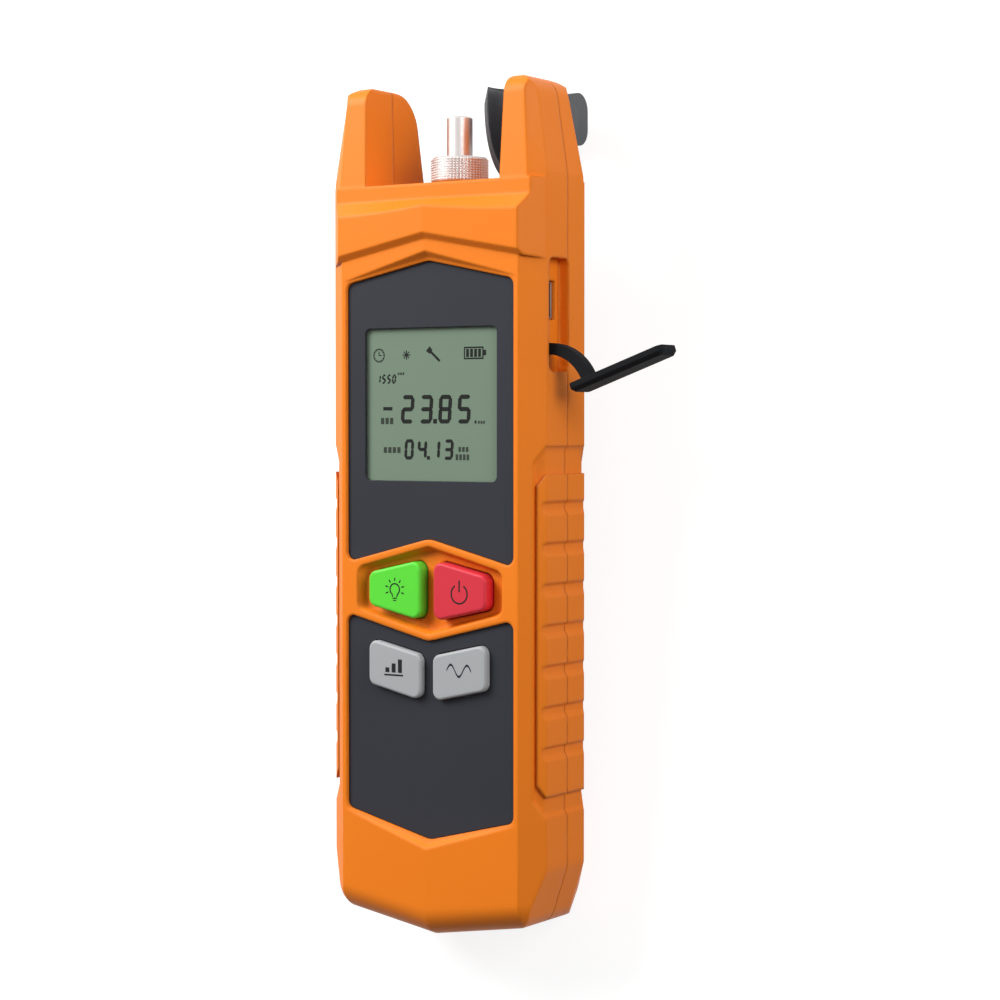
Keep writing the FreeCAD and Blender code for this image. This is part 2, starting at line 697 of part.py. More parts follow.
def parting_groove(body):
    """Fine groove where the two shells meet, cut all round the outside."""
    DOC.recompute()
    height = SPLIT_Z.number
    half = d.groove_gap.number / 2
    wires = body.Shape.slice(Vector(0, 0, 1), height)
    widest = max(wires, key=lambda wire: wire.BoundBox.DiagonalLength)
    plain = [edge if edge.Curve.TypeId in ("Part::GeomLine", "Part::GeomCircle")
             else Part.makeLine(edge.valueAt(edge.FirstParameter), edge.valueAt(edge.LastParameter))
             for edge in widest.Edges]
    face = Part.Face(Part.Wire(Part.__sortEdges__(plain)))
    inner = face.makeOffset2D(-d.groove_depth.number)
    far = d.half_width.number + 5
    length = d.horn_top.number + 10
    around = Part.Face(Part.makePolygon([Vector(-far, -5, height), Vector(far, -5, height), Vector(far, length, height),
                                         Vector(-far, length, height), Vector(-far, -5, height)]))
    ring = around.cut(inner).Faces[0]
    ring.translate(Vector(0, 0, -half))
    return shaped("parting_groove", ring.extrude(Vector(0, 0, 2 * half)))


def screw_places(low_x, low_y, top_x, top_y):
    """The four corners where screws go."""
    return [(-low_x, low_y), (low_x, low_y), (-top_x, top_y), (top_x, top_y)]


# ---------------------------------------------------------------------------------------------
# Keys
# ---------------------------------------------------------------------------------------------

def coloured_outline(side, grow=0.0):
    """Four corners of a key in the well, taller towards the middle."""
    inner, outer = d.key_inner_x - grow, d.key_outer_x + grow
    tall, short = d.key_inner_half + grow, d.key_outer_half + grow
    return [(inner * side, d.well_y - tall), (outer * side, d.well_y - short),
            (outer * side, d.well_y + short), (inner * side, d.well_y + tall)]


def grey_outline(side, grow=0.0):
    """Four corners of a key in the lower panel, sloping with its pointed edge."""
    inner, outer = d.grey_inner_x - grow, d.grey_outer_x + grow
    low, top = d.grey_inner_low - grow, d.grey_inner_top + grow
    return [(inner * side, low), (outer * side, low + d.grey_climb),
            (outer * side, top + d.grey_climb), (inner * side, top)]


# name: outline, side, depth of the wall's inner face that stops the flange
KEYS = {
    "key_light": (coloured_outline, -1, d.well_depth + d.well_floor),
    "key_power": (coloured_outline, 1, d.well_depth + d.well_floor),
    "key_reference": (grey_outline, -1, d.front_wall),
    "key_wavelength": (grey_outline, 1, d.front_wall),
}
KEY_CORNERS = {index: d.key_radius for index in range(4)}
KEY_STOP_GAP = 0.1
SWITCH_TOP = d.board_depth - d.switch_height - d.plunger_height


def key_centre(outline, side):
    """Middle of a key, where its post and switch stand."""
    corners = outline(side)
    x = (corners[0][0] + corners[1][0]) / 2
    y = (corners[0][1] + corners[1][1] + corners[2][1] + corners[3][1]) / 4
    return x, y


def key_hole(name, grow):
    """Through-hole for one key, with its clearance."""
    outline, side, _ = KEYS[name]
    return prism(f"{name}_hole", "front", outline(side, grow), at_depth(8), d.thickness,
                 {index: d.key_radius + grow for index in range(4)})


def key(name):
    """Key cap with rounded edge, retaining flange and post."""
    outline, side, wall_depth = KEYS[name]
    top = d.thickness + d.key_rise
    flange_top = at_depth(wall_depth) - KEY_STOP_GAP
    flange_low = flange_top - d.key_flange_thickness
    cap = prism(f"{name}_cap", "front", outline(side), flange_low, top - flange_low, KEY_CORNERS)
    cap = fillet(f"{name}_cap_rounded", cap, d.key_edge,
                 lambda edge: all(abs(vertex.Point.z - top.number) < 1e-4 for vertex in edge.Vertexes))
    flange = prism(f"{name}_flange", "front", outline(side, d.key_flange), flange_low,
                   d.key_flange_thickness, KEY_CORNERS)
    x, y = key_centre(outline, side)
    post_end = at_depth(SWITCH_TOP - d.key_travel - KEY_STOP_GAP)
    post = cylinder(f"{name}_post", "z", (x, y), d.key_post_radius, post_end, flange_low)
    return node(name, fused(f"{name}_solid", cap, flange, post))


def tact_switches():
    """Four switches on the board, one under each key."""
    switches = []
    board_face = at_depth(d.board_depth)
    half = d.switch_size / 2
    for name, (outline, side, _) in KEYS.items():
        x, y = key_centre(outline, side)
        case = box(f"{name}_switch_case", (x - half, x + half), (y - half, y + half),
                   (board_face, board_face + d.switch_height))
        button = cylinder(f"{name}_switch_button", "z", (x, y), d.plunger_radius,
                          board_face + d.switch_height, at_depth(SWITCH_TOP))
        switches.append(fused(f"{name}_switch", case, button))
    return node("tact_switches", fused("tact_switch_group", *switches))


# ---------------------------------------------------------------------------------------------
# Charging port
# ---------------------------------------------------------------------------------------------

PLATE_FRONT = d.port_front + d.plate_gap
PLATE_REAR = d.port_rear - d.plate_gap


def turn_about_hinge(shape, angle):
    """Turn a shape about the port cover's centre of swing."""
    shape.rotate(Vector(d.hinge_x.number, d.hinge_y.number, 0), Vector(0, 0, 1), angle)
    return shape


def ring_sector(inner, outer, low_z, high_z, from_angle, to_angle):
    """Part of a flat ring about the port cover's centre of swing, angles from +x."""
    centre = Vector(d.hinge_x.number, d.hinge_y.number, low_z)
    height = high_z - low_z
    sweep = to_angle - from_angle
    ring = Part.makeCylinder(outer, height, centre, Vector(0, 0, 1), sweep)
    ring = ring.cut(Part.makeCylinder(inner, height, centre, Vector(0, 0, 1), sweep))
    return turn_about_hinge(ring, from_angle)


def port_cover():
    """Rubber plate on a curved strap; the strap slides into the housing as the plate swings shut."""
    low_z, high_z = at_depth(PLATE_REAR).number, at_depth(PLATE_FRONT).number
    half = d.plate_thickness.number / 2
    start, length = d.plate_start.number, d.plate_length.number
    plate = Part.makeBox(length, 2 * half, high_z - low_z,
                         Vector(d.hinge_x.number + start, d.hinge_y.number - half, low_z))
    corners = [edge for edge in plate.Edges
               if abs(edge.Vertexes[0].Point.y - edge.Vertexes[-1].Point.y) > half]
    plate = plate.makeFillet(d.port_radius.number - d.plate_gap.number, corners)
    far = d.hinge_x.number + start + length
    rim = [edge for edge in plate.Edges
           if all(abs(vertex.Point.y - d.hinge_y.number + half) < 1e-4 for vertex in edge.Vertexes)
           and edge.BoundBox.XMax > far - 1e-3]
    plate = plate.makeChamfer(half * 0.8, rim[:1] if len(rim) == 1 else
                              [edge for edge in rim if edge.BoundBox.XMin > far - 1e-3])
    plate = turn_about_hinge(plate, d.plate_open_angle.number)
    strap_half = d.strap_thickness.number / 2
    arm = d.strap_arm.number
    strap_low = at_depth(d.strap_front + d.strap_width).number
    strap_high = at_depth(d.strap_front).number
    root = d.plate_open_angle.number + 3
    strap = ring_sector(arm - strap_half, arm + strap_half, strap_low, strap_high, root, STRAP_END_ANGLE)
    bulb = ring_sector(arm - strap_half - BULB_SWELL, arm + strap_half + BULB_SWELL, strap_low, strap_high,
                       STRAP_END_ANGLE, STRAP_END_ANGLE + BULB_ANGLE)
    return node("port_cover", shaped("port_cover_solid", plate.fuse([strap, bulb]).removeSplitter()))


STRAP_END_ANGLE = 114.5
BULB_ANGLE = 9.0
BULB_SWELL = 0.8
CLOSING_ANGLE = 90.0 - d.plate_open_angle.number


def strap_slot_tool():
    """Curved slot through the port's inner wall for the strap."""
    reach = d.strap_thickness.number / 2 + d.slot_gap.number
    arm = d.strap_arm.number
    low_z = at_depth(d.strap_front + d.strap_width + d.slot_gap).number
    high_z = at_depth(d.strap_front - d.slot_gap).number
    return shaped("strap_slot_tool", ring_sector(arm - reach, arm + reach, low_z, high_z, 70.0, 135.0))


def socket_span():
    """Spans of the socket's outside: x, y, z."""
    mouth = d.half_width - d.port_recess - d.socket_mouth
    half = d.socket_width / 2
    face = at_depth(d.board_depth)
    return ((mouth - d.socket_length, mouth), (d.socket_y - half, d.socket_y + half),
            (face, face + d.socket_height))


def usb_socket():
    """Folded metal shell of the socket, open at its mouth, and its tongue."""
    (x_low, x_high), (y_low, y_high), (z_low, z_high) = socket_span()
    skin = d.socket_skin
    shell = box("socket_block", (x_low, x_high), (y_low, y_high), (z_low, z_high))
    inside = box("socket_inside", (x_low + skin, x_high + 1), (y_low + skin, y_high - skin),
                 (z_low + skin, z_high - skin))
    node("usb_socket", cut("socket_shell", shell, inside))
    tongue = box("tongue_block", (x_low + skin, x_high - 1), (y_low + skin * 4, y_high - skin * 4),
                 (z_low + skin * 2.6, z_high - skin * 2.6))
    node("usb_tongue", fused("tongue_solid", tongue, box(
        "tongue_root", (x_low + skin, x_low + 1.2), (y_low + skin, y_high - skin), (z_low + skin, z_high - skin))))


def port_mouth_tool():
    """Opening in the port's inner wall that the socket looks through."""
    (x_low, _), (y_low, y_high), (z_low, z_high) = socket_span()
    gap = 0.15
    return box("port_mouth_tool", (x_low, d.half_width), (y_low - gap, y_high + gap), (z_low - gap, z_high + gap))


def port_wall_block(name, low_z, high_z):
    """Thicker wall behind the port recess."""
    floor = d.half_width - d.port_recess
    return box(name, (floor - d.port_wall, d.half_width - d.wall), (d.port_low - 3, d.port_top + 2),
               (low_z, high_z))


# ---------------------------------------------------------------------------------------------
# Shells
# ---------------------------------------------------------------------------------------------

def display_opening():
    """Hole in the front wall behind the window, for the cell and its light guide."""
    gap = 0.2
    return box("display_opening", (-d.glass_half - gap, d.glass_half + gap),
               (d.window_low - d.glass_margin - gap, d.window_top + d.glass_margin + gap),
               (at_depth(d.front_wall) - 1, d.thickness))


def bosses(name, places, radius, start, end):
    """Round posts at the given places."""
    return [cylinder(f"{name}_{index}", "z", place, radius, start, end) for index, place in enumerate(places)]


CASE_SCREWS = screw_places(d.boss_x, d.boss_low_y, d.boss_x, d.boss_top_y)
BOARD_SCREWS = screw_places(d.post_low_x, d.post_low_y, d.post_top_x, d.post_top_y)


def front_shell(outer, hollow, groove, port_recess):
    """Front half: horns, roofed ends, panel recesses, key well and posts."""
    far = d.half_width + 5
    half_space = box("front_half", (-far, far), (-5, d.horn_top + 5), (SPLIT_Z, d.thickness + 6))
    half = common("front_outer", outer, half_space)
    hollowed = cut("front_hollowed", half, hollow)
    well_pad = prism("well_pad", "front",
                     chevron(d.well_half + 1.4, d.well_y - d.well_apex - 1.4, d.well_y - d.well_side - 1.2,
                             d.well_y + d.well_side + 1.2, d.well_y + d.well_apex + 1.4),
                     at_depth(d.well_depth + d.well_floor), d.well_floor)
    inner_front = at_depth(d.front_wall)
    additions = [well_pad, port_wall_block("port_wall_front", SPLIT_Z, inner_front)]
    additions += bosses("front_boss", CASE_SCREWS, d.boss_radius, SPLIT_Z, inner_front)
    additions += bosses("board_post", BOARD_SCREWS, d.post_radius, at_depth(d.board_depth), inner_front)
    solid = fused("front_furnished", hollowed, *additions)
    pocket = d.panel_depth + d.panel_thickness
    tools = [
        prism("upper_pocket", "front", upper_outline(), at_depth(pocket), pocket + 6, PANEL_ROUNDING),
        prism("lower_pocket", "front", lower_outline(), at_depth(pocket), pocket + 6, PANEL_ROUNDING),
        well_tool(), display_opening(), port_mouth_tool(), strap_slot_tool(), groove, port_recess,
        cylinder("barrel_hole_front", "y", (0, AXIS_Z), d.barrel_radius, d.shoulder - 6, d.shoulder + 1),
    ]
    tools += [key_hole(name, d.key_gap) for name in KEYS]
    tools += [cylinder(f"case_pilot_{index}", "z", place, d.case_screw_radius, SPLIT_Z - 1, CASE_SCREW_TIP)
              for index, place in enumerate(CASE_SCREWS)]
    tools += [cylinder(f"board_pilot_{index}", "z", place, d.board_screw_radius, at_depth(d.board_depth) - 1,
                       BOARD_SCREW_TIP) for index, place in enumerate(BOARD_SCREWS)]
    return node("front_shell", cut("front_finished", solid, *tools))


CASE_HEAD_SEAT = d.wall + 1.0
CASE_SCREW_TIP = CASE_HEAD_SEAT + d.case_screw_length
BOARD_SCREW_TIP = at_depth(d.board_depth) + 4.5


def cover_bracket(outer):
    """Black ear fixed behind the right horn, which carries the dust cover's pin."""
    y, z = d.cover_pivot_y, at_depth(d.cover_pivot_depth)
    ear = cylinder("bracket_ear", "x", (y, z), d.lug_radius, d.lug_inner_x, d.lug_outer_x)
    foot = box("bracket_foot", (d.lug_inner_x + 0.8, d.lug_outer_x), (y - d.lug_radius, y + d.lug_radius * 0.8),
               (z, at_depth(d.bracket_root_depth)))
    pin_hole = cylinder("pin_hole", "x", (y, z), d.pin_radius, d.lug_inner_x - 1, d.pin_end_x)
    return node("cover_bracket", cut("bracket_solid", fused("bracket_block", ear, foot), outer, pin_hole))


def rear_shell(outer, hollow, groove, port_recess):
    """Back half: screw wells and the rest of the horns."""
    far = d.half_width + 5
    half_space = box("rear_half", (-far, far), (-5, d.horn_top + 5), (-1, SPLIT_Z))
    half = common("rear_outer", outer, half_space)
    hollowed = cut("rear_hollowed", half, hollow)
    additions = [port_wall_block("port_wall_rear", SPLIT_Z - 2, SPLIT_Z)]
    additions += bosses("rear_boss", CASE_SCREWS, d.boss_radius, d.wall / 2, SPLIT_Z)
    solid = fused("rear_furnished", hollowed, *additions)
    head_gap = 0.25
    tools = [groove, port_recess,
             cylinder("barrel_hole_rear", "y", (0, AXIS_Z), d.barrel_radius, d.shoulder - 6, d.shoulder + 1),
             cylinder("pin_room", "x", (d.cover_pivot_y, at_depth(d.cover_pivot_depth)), d.pin_radius,
                      d.lug_inner_x - 1, d.pin_end_x)]
    for index, place in enumerate(CASE_SCREWS):
        tools.append(cylinder(f"head_well_{index}", "z", place, d.case_head_radius + head_gap, -1, CASE_HEAD_SEAT))
        tools.append(cylinder(f"shank_hole_{index}", "z", place, d.case_screw_radius + head_gap, 0, SPLIT_Z + 1))
    return node("rear_shell", cut("rear_finished", solid, *tools))


# ---------------------------------------------------------------------------------------------
# Panels, display and board
# ---------------------------------------------------------------------------------------------

def panels():
    """Dark sheets set into the front: the upper one with its window, the lower one with key holes."""
    gap = 0.1
    low = at_depth(d.panel_depth + d.panel_thickness)
    window_points = [(-d.window_half, d.window_low), (d.window_half, d.window_low),
                     (d.window_half, d.window_top), (-d.window_half, d.window_top)]
    window_corners = {index: d.window_radius for index in range(4)}
    upper = prism("upper_sheet", "front", upper_outline(gap), low, d.panel_thickness, PANEL_ROUNDING)
    window = prism("window_hole", "front", window_points, low - 1, d.panel_thickness + 2, window_corners)
    node("upper_panel", cut("upper_cut", upper, window))
    lens = prism("lens_sheet", "front", window_points, low, d.panel_thickness - 0.1, window_corners)
    node("display_lens", lens)
    lower = prism("lower_sheet", "front", lower_outline(gap), low, d.panel_thickness, PANEL_ROUNDING)
    node("lower_panel", cut("lower_cut", lower, *[key_hole_copy(name) for name in
                                                  ("key_reference", "key_wavelength")]))


def key_hole_copy(name):
    """A second hole tool of the same size, for the panel."""
    outline, side, _ = KEYS[name]
    return prism(f"{name}_panel_hole", "front", outline(side, d.key_gap), at_depth(4), d.thickness,
                 {index: d.key_radius + d.key_gap for index in range(4)})


def display():
    """Liquid-crystal cell, light guide behind it and the frame that clips both to the front shell."""
    half = d.glass_half
    low, top = d.window_low - d.glass_margin, d.window_top + d.glass_margin
    front = d.panel_depth + d.panel_thickness
    glass_back = front + d.glass_thickness
    light_back = glass_back + d.light_thickness
    glass = box("lcd_block", (-half, half), (low, top), (at_depth(glass_back), at_depth(front)))
    node("lcd_glass", glass)
    light = box("light_block", (-half, half), (low, top), (at_depth(light_back), at_depth(glass_back)))
    node("lcd_backlight", light)
    width = d.frame_width
    gap = 0.1
    ring = box("frame_block", (-half - width, half + width), (low - width, top + width),
               (at_depth(light_back), at_depth(d.front_wall) - gap))
    hole = box("frame_hole", (-half - gap, half + gap), (low - gap, top + gap),
               (at_depth(light_back) - 1, d.thickness))
    node("display_frame", cut("frame_cut", ring, hole))


def board():
    """Main circuit board with its four screw holes."""
    back = at_depth(d.board_depth + d.board_thickness)
    front = at_depth(d.board_depth)
    cut_corner = 3
    outline = both_sides([
        (0, d.board_low), (d.board_half - cut_corner, d.board_low), (d.board_half, d.board_low + cut_corner),
        (d.board_half, d.board_top - cut_corner), (d.board_half - cut_corner, d.board_top), (0, d.board_top),
    ])
    sheet = prism("board_sheet", "front", outline, back, d.board_thickness)
    holes = [cylinder(f"board_hole_{index}", "z", place, d.board_screw_radius + 0.2, back - 1, front + 1)
             for index, place in enumerate(BOARD_SCREWS)]
    node("circuit_board", cut("board_cut", sheet, *holes))
    screws = []
    for index, place in enumerate(BOARD_SCREWS):
        shank = cylinder(f"board_shank_{index}", "z", place, d.board_screw_radius, back, BOARD_SCREW_TIP)
        head = cylinder(f"board_head_{index}", "z", place, d.board_screw_radius * 2.1,
                        back - d.board_screw_radius * 1.5, back)
        screws.append(fused(f"board_screw_{index}", shank, head))
    node("board_screws", fused("board_screw_group", *screws))


def case_screws():
    """Four countersunk-in screws that hold the rear shell."""
    screws = []
    for index, place in enumerate(CASE_SCREWS):
        shank = cylinder(f"case_shank_{index}", "z", place, d.case_screw_radius, CASE_HEAD_SEAT, CASE_SCREW_TIP)
        head = cylinder(f"case_head_{index}", "z", place, d.case_head_radius,
                        CASE_HEAD_SEAT - d.case_head_height, CASE_HEAD_SEAT)
        cross = [box(f"cross_{index}_{turn}", (place[0] - a, place[0] + a), (place[1] - b, place[1] + b),
                     (CASE_HEAD_SEAT - d.case_head_height, CASE_HEAD_SEAT - d.case_head_height * 0.4))
                 for turn, (a, b) in enumerate(((d.case_head_radius * 0.62, d.case_head_radius * 0.14),
                                                (d.case_head_radius * 0.14, d.case_head_radius * 0.62)))]
        screws.append(cut(f"case_screw_{index}", fused(f"case_body_{index}", shank, head), *cross))
    node("case_screws", fused("case_screw_group", *screws))


def battery():
    """Flat cell and the foam pad that holds it against the back."""
    low = d.wall + d.pad_thickness
    node("battery", box("battery_block", (-d.battery_half, d.battery_half), (d.battery_low, d.battery_top),
                        (low, low + d.battery_thickness)))
    node("battery_pad", box("pad_block", (-d.battery_half + 2, d.battery_half - 2),
                            (d.battery_low + 3, d.battery_top - 3), (d.wall, low)))


# ---------------------------------------------------------------------------------------------
# Detector and adapter
# ---------------------------------------------------------------------------------------------

def detector():
    """Threaded barrel through the shoulder, its inner nut and the photodiode in it."""
    collar_top = d.shoulder + d.collar_height
    bore, radius = d.barrel_bore, d.barrel_radius
    node("detector_barrel", turned("barrel_turned", [
        (bore, d.barrel_low), (radius, d.barrel_low), (radius, d.shoulder), (d.collar_radius, d.shoulder),
        (d.collar_radius, collar_top), (radius, collar_top), (radius, d.barrel_top), (bore, d.barrel_top),
    ]))
    inner_face = d.shoulder - d.wall
    flat = d.barrel_nut_radius * 0.866
    hexagon = prism("barrel_nut_block", "section", [
        (d.barrel_nut_radius, AXIS_Z), (d.barrel_nut_radius / 2, AXIS_Z + flat),
        (-d.barrel_nut_radius / 2, AXIS_Z + flat), (-d.barrel_nut_radius, AXIS_Z),
        (-d.barrel_nut_radius / 2, AXIS_Z - flat), (d.barrel_nut_radius / 2, AXIS_Z - flat),
    ], inner_face - d.barrel_nut_height, d.barrel_nut_height)
    node("barrel_nut", cut("barrel_nut_bored", hexagon, cylinder(
        "barrel_nut_bore", "y", (0, AXIS_Z), radius, inner_face - d.barrel_nut_height - 1, inner_face + 1)))
    can_top = d.barrel_low + d.diode_length
    node("photodiode", turned("photodiode_can", [
        (0, d.barrel_low - 0.8), (d.diode_radius + 0.3, d.barrel_low - 0.8), (d.diode_radius + 0.3, d.barrel_low),
        (d.diode_radius, d.barrel_low), (d.diode_radius, can_top), (0, can_top),
    ]))


def adapter():
    """Ferrule tube with its flange and spigot, its ceramic sleeve, and the knurled nut that holds it."""
    flange_low = d.barrel_top + 0.1
    flange_top = flange_low + d.flange_height
    spigot_radius = d.barrel_bore - d.running_gap
    sleeve_top = d.tube_top - d.tube_mouth
    sleeve_low = sleeve_top - d.sleeve_length
    mouth = d.sleeve_radius + 0.1
    node("adapter_tube", turned("tube_turned", [
        (d.light_bore, flange_low - d.spigot_length), (spigot_radius, flange_low - d.spigot_length),
        (spigot_radius, flange_low), (d.flange_radius, flange_low), (d.flange_radius, flange_top),
        (d.tube_radius, flange_top), (d.tube_radius, d.tube_top - 0.3), (d.tube_radius - 0.3, d.tube_top),
        (mouth, d.tube_top), (d.sleeve_radius, sleeve_top), (d.sleeve_radius, sleeve_low),
        (d.light_bore, sleeve_low),
    ]))
    node("ferrule_sleeve", turned("sleeve_turned", [
        (d.ferrule_radius, sleeve_low), (d.sleeve_radius, sleeve_low), (d.sleeve_radius, sleeve_top),
        (d.ferrule_radius + 0.2, sleeve_top), (d.ferrule_radius, sleeve_top - 0.3),
    ]))
    thread = d.barrel_radius + d.running_gap
    recess = d.flange_radius + d.running_gap
    lip_hole = d.tube_radius + d.running_gap
    bevel = 0.35
    node("knurled_nut", turned("nut_turned", [
        (thread, d.nut_low), (d.nut_radius - bevel, d.nut_low), (d.nut_radius, d.nut_low + bevel),
        (d.nut_radius, d.nut_top - bevel), (d.nut_radius - bevel, d.nut_top), (lip_hole, d.nut_top),
        (lip_hole, flange_top + 0.05), (recess, flange_top + 0.05), (recess, flange_low - 0.05),
        (thread, flange_low - 0.05),
    ]))


# ---------------------------------------------------------------------------------------------
# Dust cover
# ---------------------------------------------------------------------------------------------

def cover_profile(radius, dome, rim, dome_y, bevel):
    """Half outline of a bullet: quarter ellipse, straight side, bevelled rim."""
    centre = Vector(0, dome_y, 0)
    ellipse = Part.Ellipse(centre + Vector(0, -dome, 0), centre + Vector(radius, 0, 0), centre)
    quarter = ellipse.toShape()
    apex, side = centre + Vector(0, -dome, 0), centre + Vector(radius, 0, 0)
    start, end = ellipse.parameter(apex), ellipse.parameter(side)
    if end < start:
        start, end = end, start
    quarter = Part.ArcOfEllipse(ellipse, start, end).toShape()
    straight = [side, Vector(radius, rim - 4 * bevel, 0), Vector(radius - bevel, rim, 0), Vector(0, rim, 0), apex]
    lines = [Part.makeLine(a, b) for a, b in zip(straight, straight[1:]) if (b - a).Length > 1e-6]
    return Part.Face(Part.Wire(Part.__sortEdges__([quarter] + lines)))


def bullet(radius, dome, rim, dome_y, bevel, side):
    """Round-backed bullet with straight sides towards the front, its axis through the open cover."""
    half = cover_profile(radius, dome, rim, dome_y, bevel)
    back = half.revolve(Vector(), Vector(0, 1, 0), 180)
    other = half.mirror(Vector(), Vector(1, 0, 0))
    front = half.fuse(other).removeSplitter().extrude(Vector(0, 0, side))
    return back.fuse(front).removeSplitter()


def dust_cover():
    """Hood on one arm: a hollow bullet, open towards the front, and a hub beside the right horn."""
    centre_z = at_depth(d.cover_pivot_depth * 2 - d.axis_depth).number
    pivot_y, pivot_z = d.cover_pivot_y.number, at_depth(d.cover_pivot_depth).number
    radius, rim = d.cover_radius.number, d.cover_rim_y.number
    outer = bullet(radius, d.cover_dome.number, rim, d.cover_dome_y.number, d.cover_bevel.number,
                   d.cover_side.number)
    inner = bullet(radius - d.cover_wall.number, d.cover_dome.number - d.cover_dome_wall.number, rim + 5,
                   d.cover_dome_y.number, 0.0, d.cover_side.number + 5)
    place = Vector(0, 0, centre_z)
    outer.translate(place)
    inner.translate(place)
    inner_x, outer_x = d.arm_inner_x.number, d.arm_outer_x.number
    width = outer_x - inner_x
    end_z = at_depth(d.arm_depth).number
    low_y, top_y = d.arm_low_y.number, d.arm_top_y.number
    hub_radius = d.hub_radius.number
    hub = Part.makeCylinder(hub_radius, width, Vector(inner_x, pivot_y, pivot_z), Vector(1, 0, 0))
    corners = [Vector(inner_x, pivot_y - hub_radius, pivot_z), Vector(inner_x, low_y, end_z),
               Vector(inner_x, top_y, end_z), Vector(inner_x, pivot_y + hub_radius, pivot_z)]
    arm = Part.Face(Part.makePolygon(corners + corners[:1])).extrude(Vector(width, 0, 0))
    arm = arm.makeFillet(d.arm_radius.number, [
        edge for edge in arm.Edges if all(abs(vertex.Point.z - end_z) < 1e-6 for vertex in edge.Vertexes)
        and edge.BoundBox.XLength > width / 2])
    web_z = at_depth(d.web_front_depth).number
    web_low, web_top = d.web_low_y.number, d.web_top_y.number
    web_end_z = end_z + 0.8
    web_x = radius * 0.85
    web = Part.makeBox(inner_x + 1 - web_x, web_top - web_low, web_z - web_end_z, Vector(web_x, web_low, web_end_z))
    solid = outer.fuse([hub, arm, web]).cut(inner)
    bore = Part.makeCylinder(d.pin_radius.number + d.running_gap.number, width + 2,
                             Vector(inner_x - 1, pivot_y, pivot_z), Vector(1, 0, 0))
    return node("dust_cover", shaped("dust_cover_solid", solid.cut(bore).removeSplitter()))


def cover_pin():
    """Headed pin through the arm into the ear behind the right horn."""
    place = (d.cover_pivot_y, at_depth(d.cover_pivot_depth))
    seat = d.arm_inner_x - d.running_gap
    shank = cylinder("pin_shank", "x", place, d.pin_radius, seat, d.pin_end_x)
    head = cylinder("pin_head_block", "x", place, d.pin_radius * 1.8, seat - d.pin_head, seat)
    return node("cover_pin", fused("pin_solid", shank, head))


# ---------------------------------------------------------------------------------------------
# Build
# ---------------------------------------------------------------------------------------------

def build():
    """Make every sub-part."""
    port_recess = port_recess_tool()
    outer = outer_form(port_recess)
    hollow = cavity()
    groove = parting_groove(outer)
    front_shell(outer, hollow, groove, port_recess)
    rear_shell(outer, hollow, groove, port_recess)
    cover_bracket(outer)
    panels()
    display()
    board()
    tact_switches()
    for name in KEYS:
        key(name)
    case_screws()
    battery()
    detector()
    adapter()
    usb_socket()
    port_cover()
    dust_cover()
    cover_pin()
    DOC.recompute()


def lay_down():
    """Tilt the meter onto its lower end and the open cover, origin under the middle of its bounds."""
    tilt = Rotation(Vector(1, 0, 0), d.rest_tilt.number)
    turned_over = Part.Compound([piece.Shape.copy() for piece in NODES])
    turned_over.Placement = Placement(Vector(), tilt)
    bounds = turned_over.optimalBoundingBox(False)
    centre = Vector((bounds.XMin + bounds.XMax) / 2, (bounds.YMin + bounds.YMax) / 2, bounds.ZMin)
    for piece in NODES:
        piece.Placement = Placement(-centre, tilt)
    DOC.recompute()
    return Placement(-centre, tilt)


def check():
    """Stop at any failed object or broken solid."""
    for item in DOC.Objects:
        failed = [state for state in item.State if state in ("Invalid", "Error")]
        if failed:
            raise RuntimeError(f"{item.Label} is {failed}")
    for piece in NODES:
        if piece.Shape.isNull() or not piece.Shape.isValid() or not piece.Shape.Solids:
            raise RuntimeError(f"{piece.Label} has no valid solid")


def write():
    """Write one STEP file for each sub-part."""
    os.makedirs("parts", exist_ok=True)
    for piece in NODES:
        piece.Shape.exportStep(f"parts/{piece.Label}.step")
        print(f"{piece.Label:18s} solids {len(piece.Shape.Solids)}  volume {piece.Shape.Volume:10.1f} mm3")


build()
REST = lay_down()
check()
write()
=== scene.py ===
"""Looks for a handheld optical power meter that lies on its tail and its opened dust cover."""

import json
import logging
import math
from collections.abc import Iterable, Sequence
from dataclasses import dataclass, field
from enum import Enum

import bpy
from mathutils import Matrix, Vector


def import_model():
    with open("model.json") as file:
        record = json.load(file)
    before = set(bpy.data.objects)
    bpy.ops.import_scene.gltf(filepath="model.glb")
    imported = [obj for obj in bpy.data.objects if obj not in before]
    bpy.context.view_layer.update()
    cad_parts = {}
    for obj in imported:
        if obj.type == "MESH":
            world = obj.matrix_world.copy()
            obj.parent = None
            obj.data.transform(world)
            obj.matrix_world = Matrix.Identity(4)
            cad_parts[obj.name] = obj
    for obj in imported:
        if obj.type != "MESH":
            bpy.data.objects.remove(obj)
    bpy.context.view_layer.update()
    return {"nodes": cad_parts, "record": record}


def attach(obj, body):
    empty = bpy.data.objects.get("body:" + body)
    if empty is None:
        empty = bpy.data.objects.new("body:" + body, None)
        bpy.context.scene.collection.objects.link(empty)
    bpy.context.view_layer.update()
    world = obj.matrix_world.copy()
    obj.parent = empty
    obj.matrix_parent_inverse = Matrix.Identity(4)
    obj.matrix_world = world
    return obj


log = logging.getLogger("power_meter")
MM = 0.001


# ------------------------------------------------------------------------------------------
# Small helpers
# ------------------------------------------------------------------------------------------


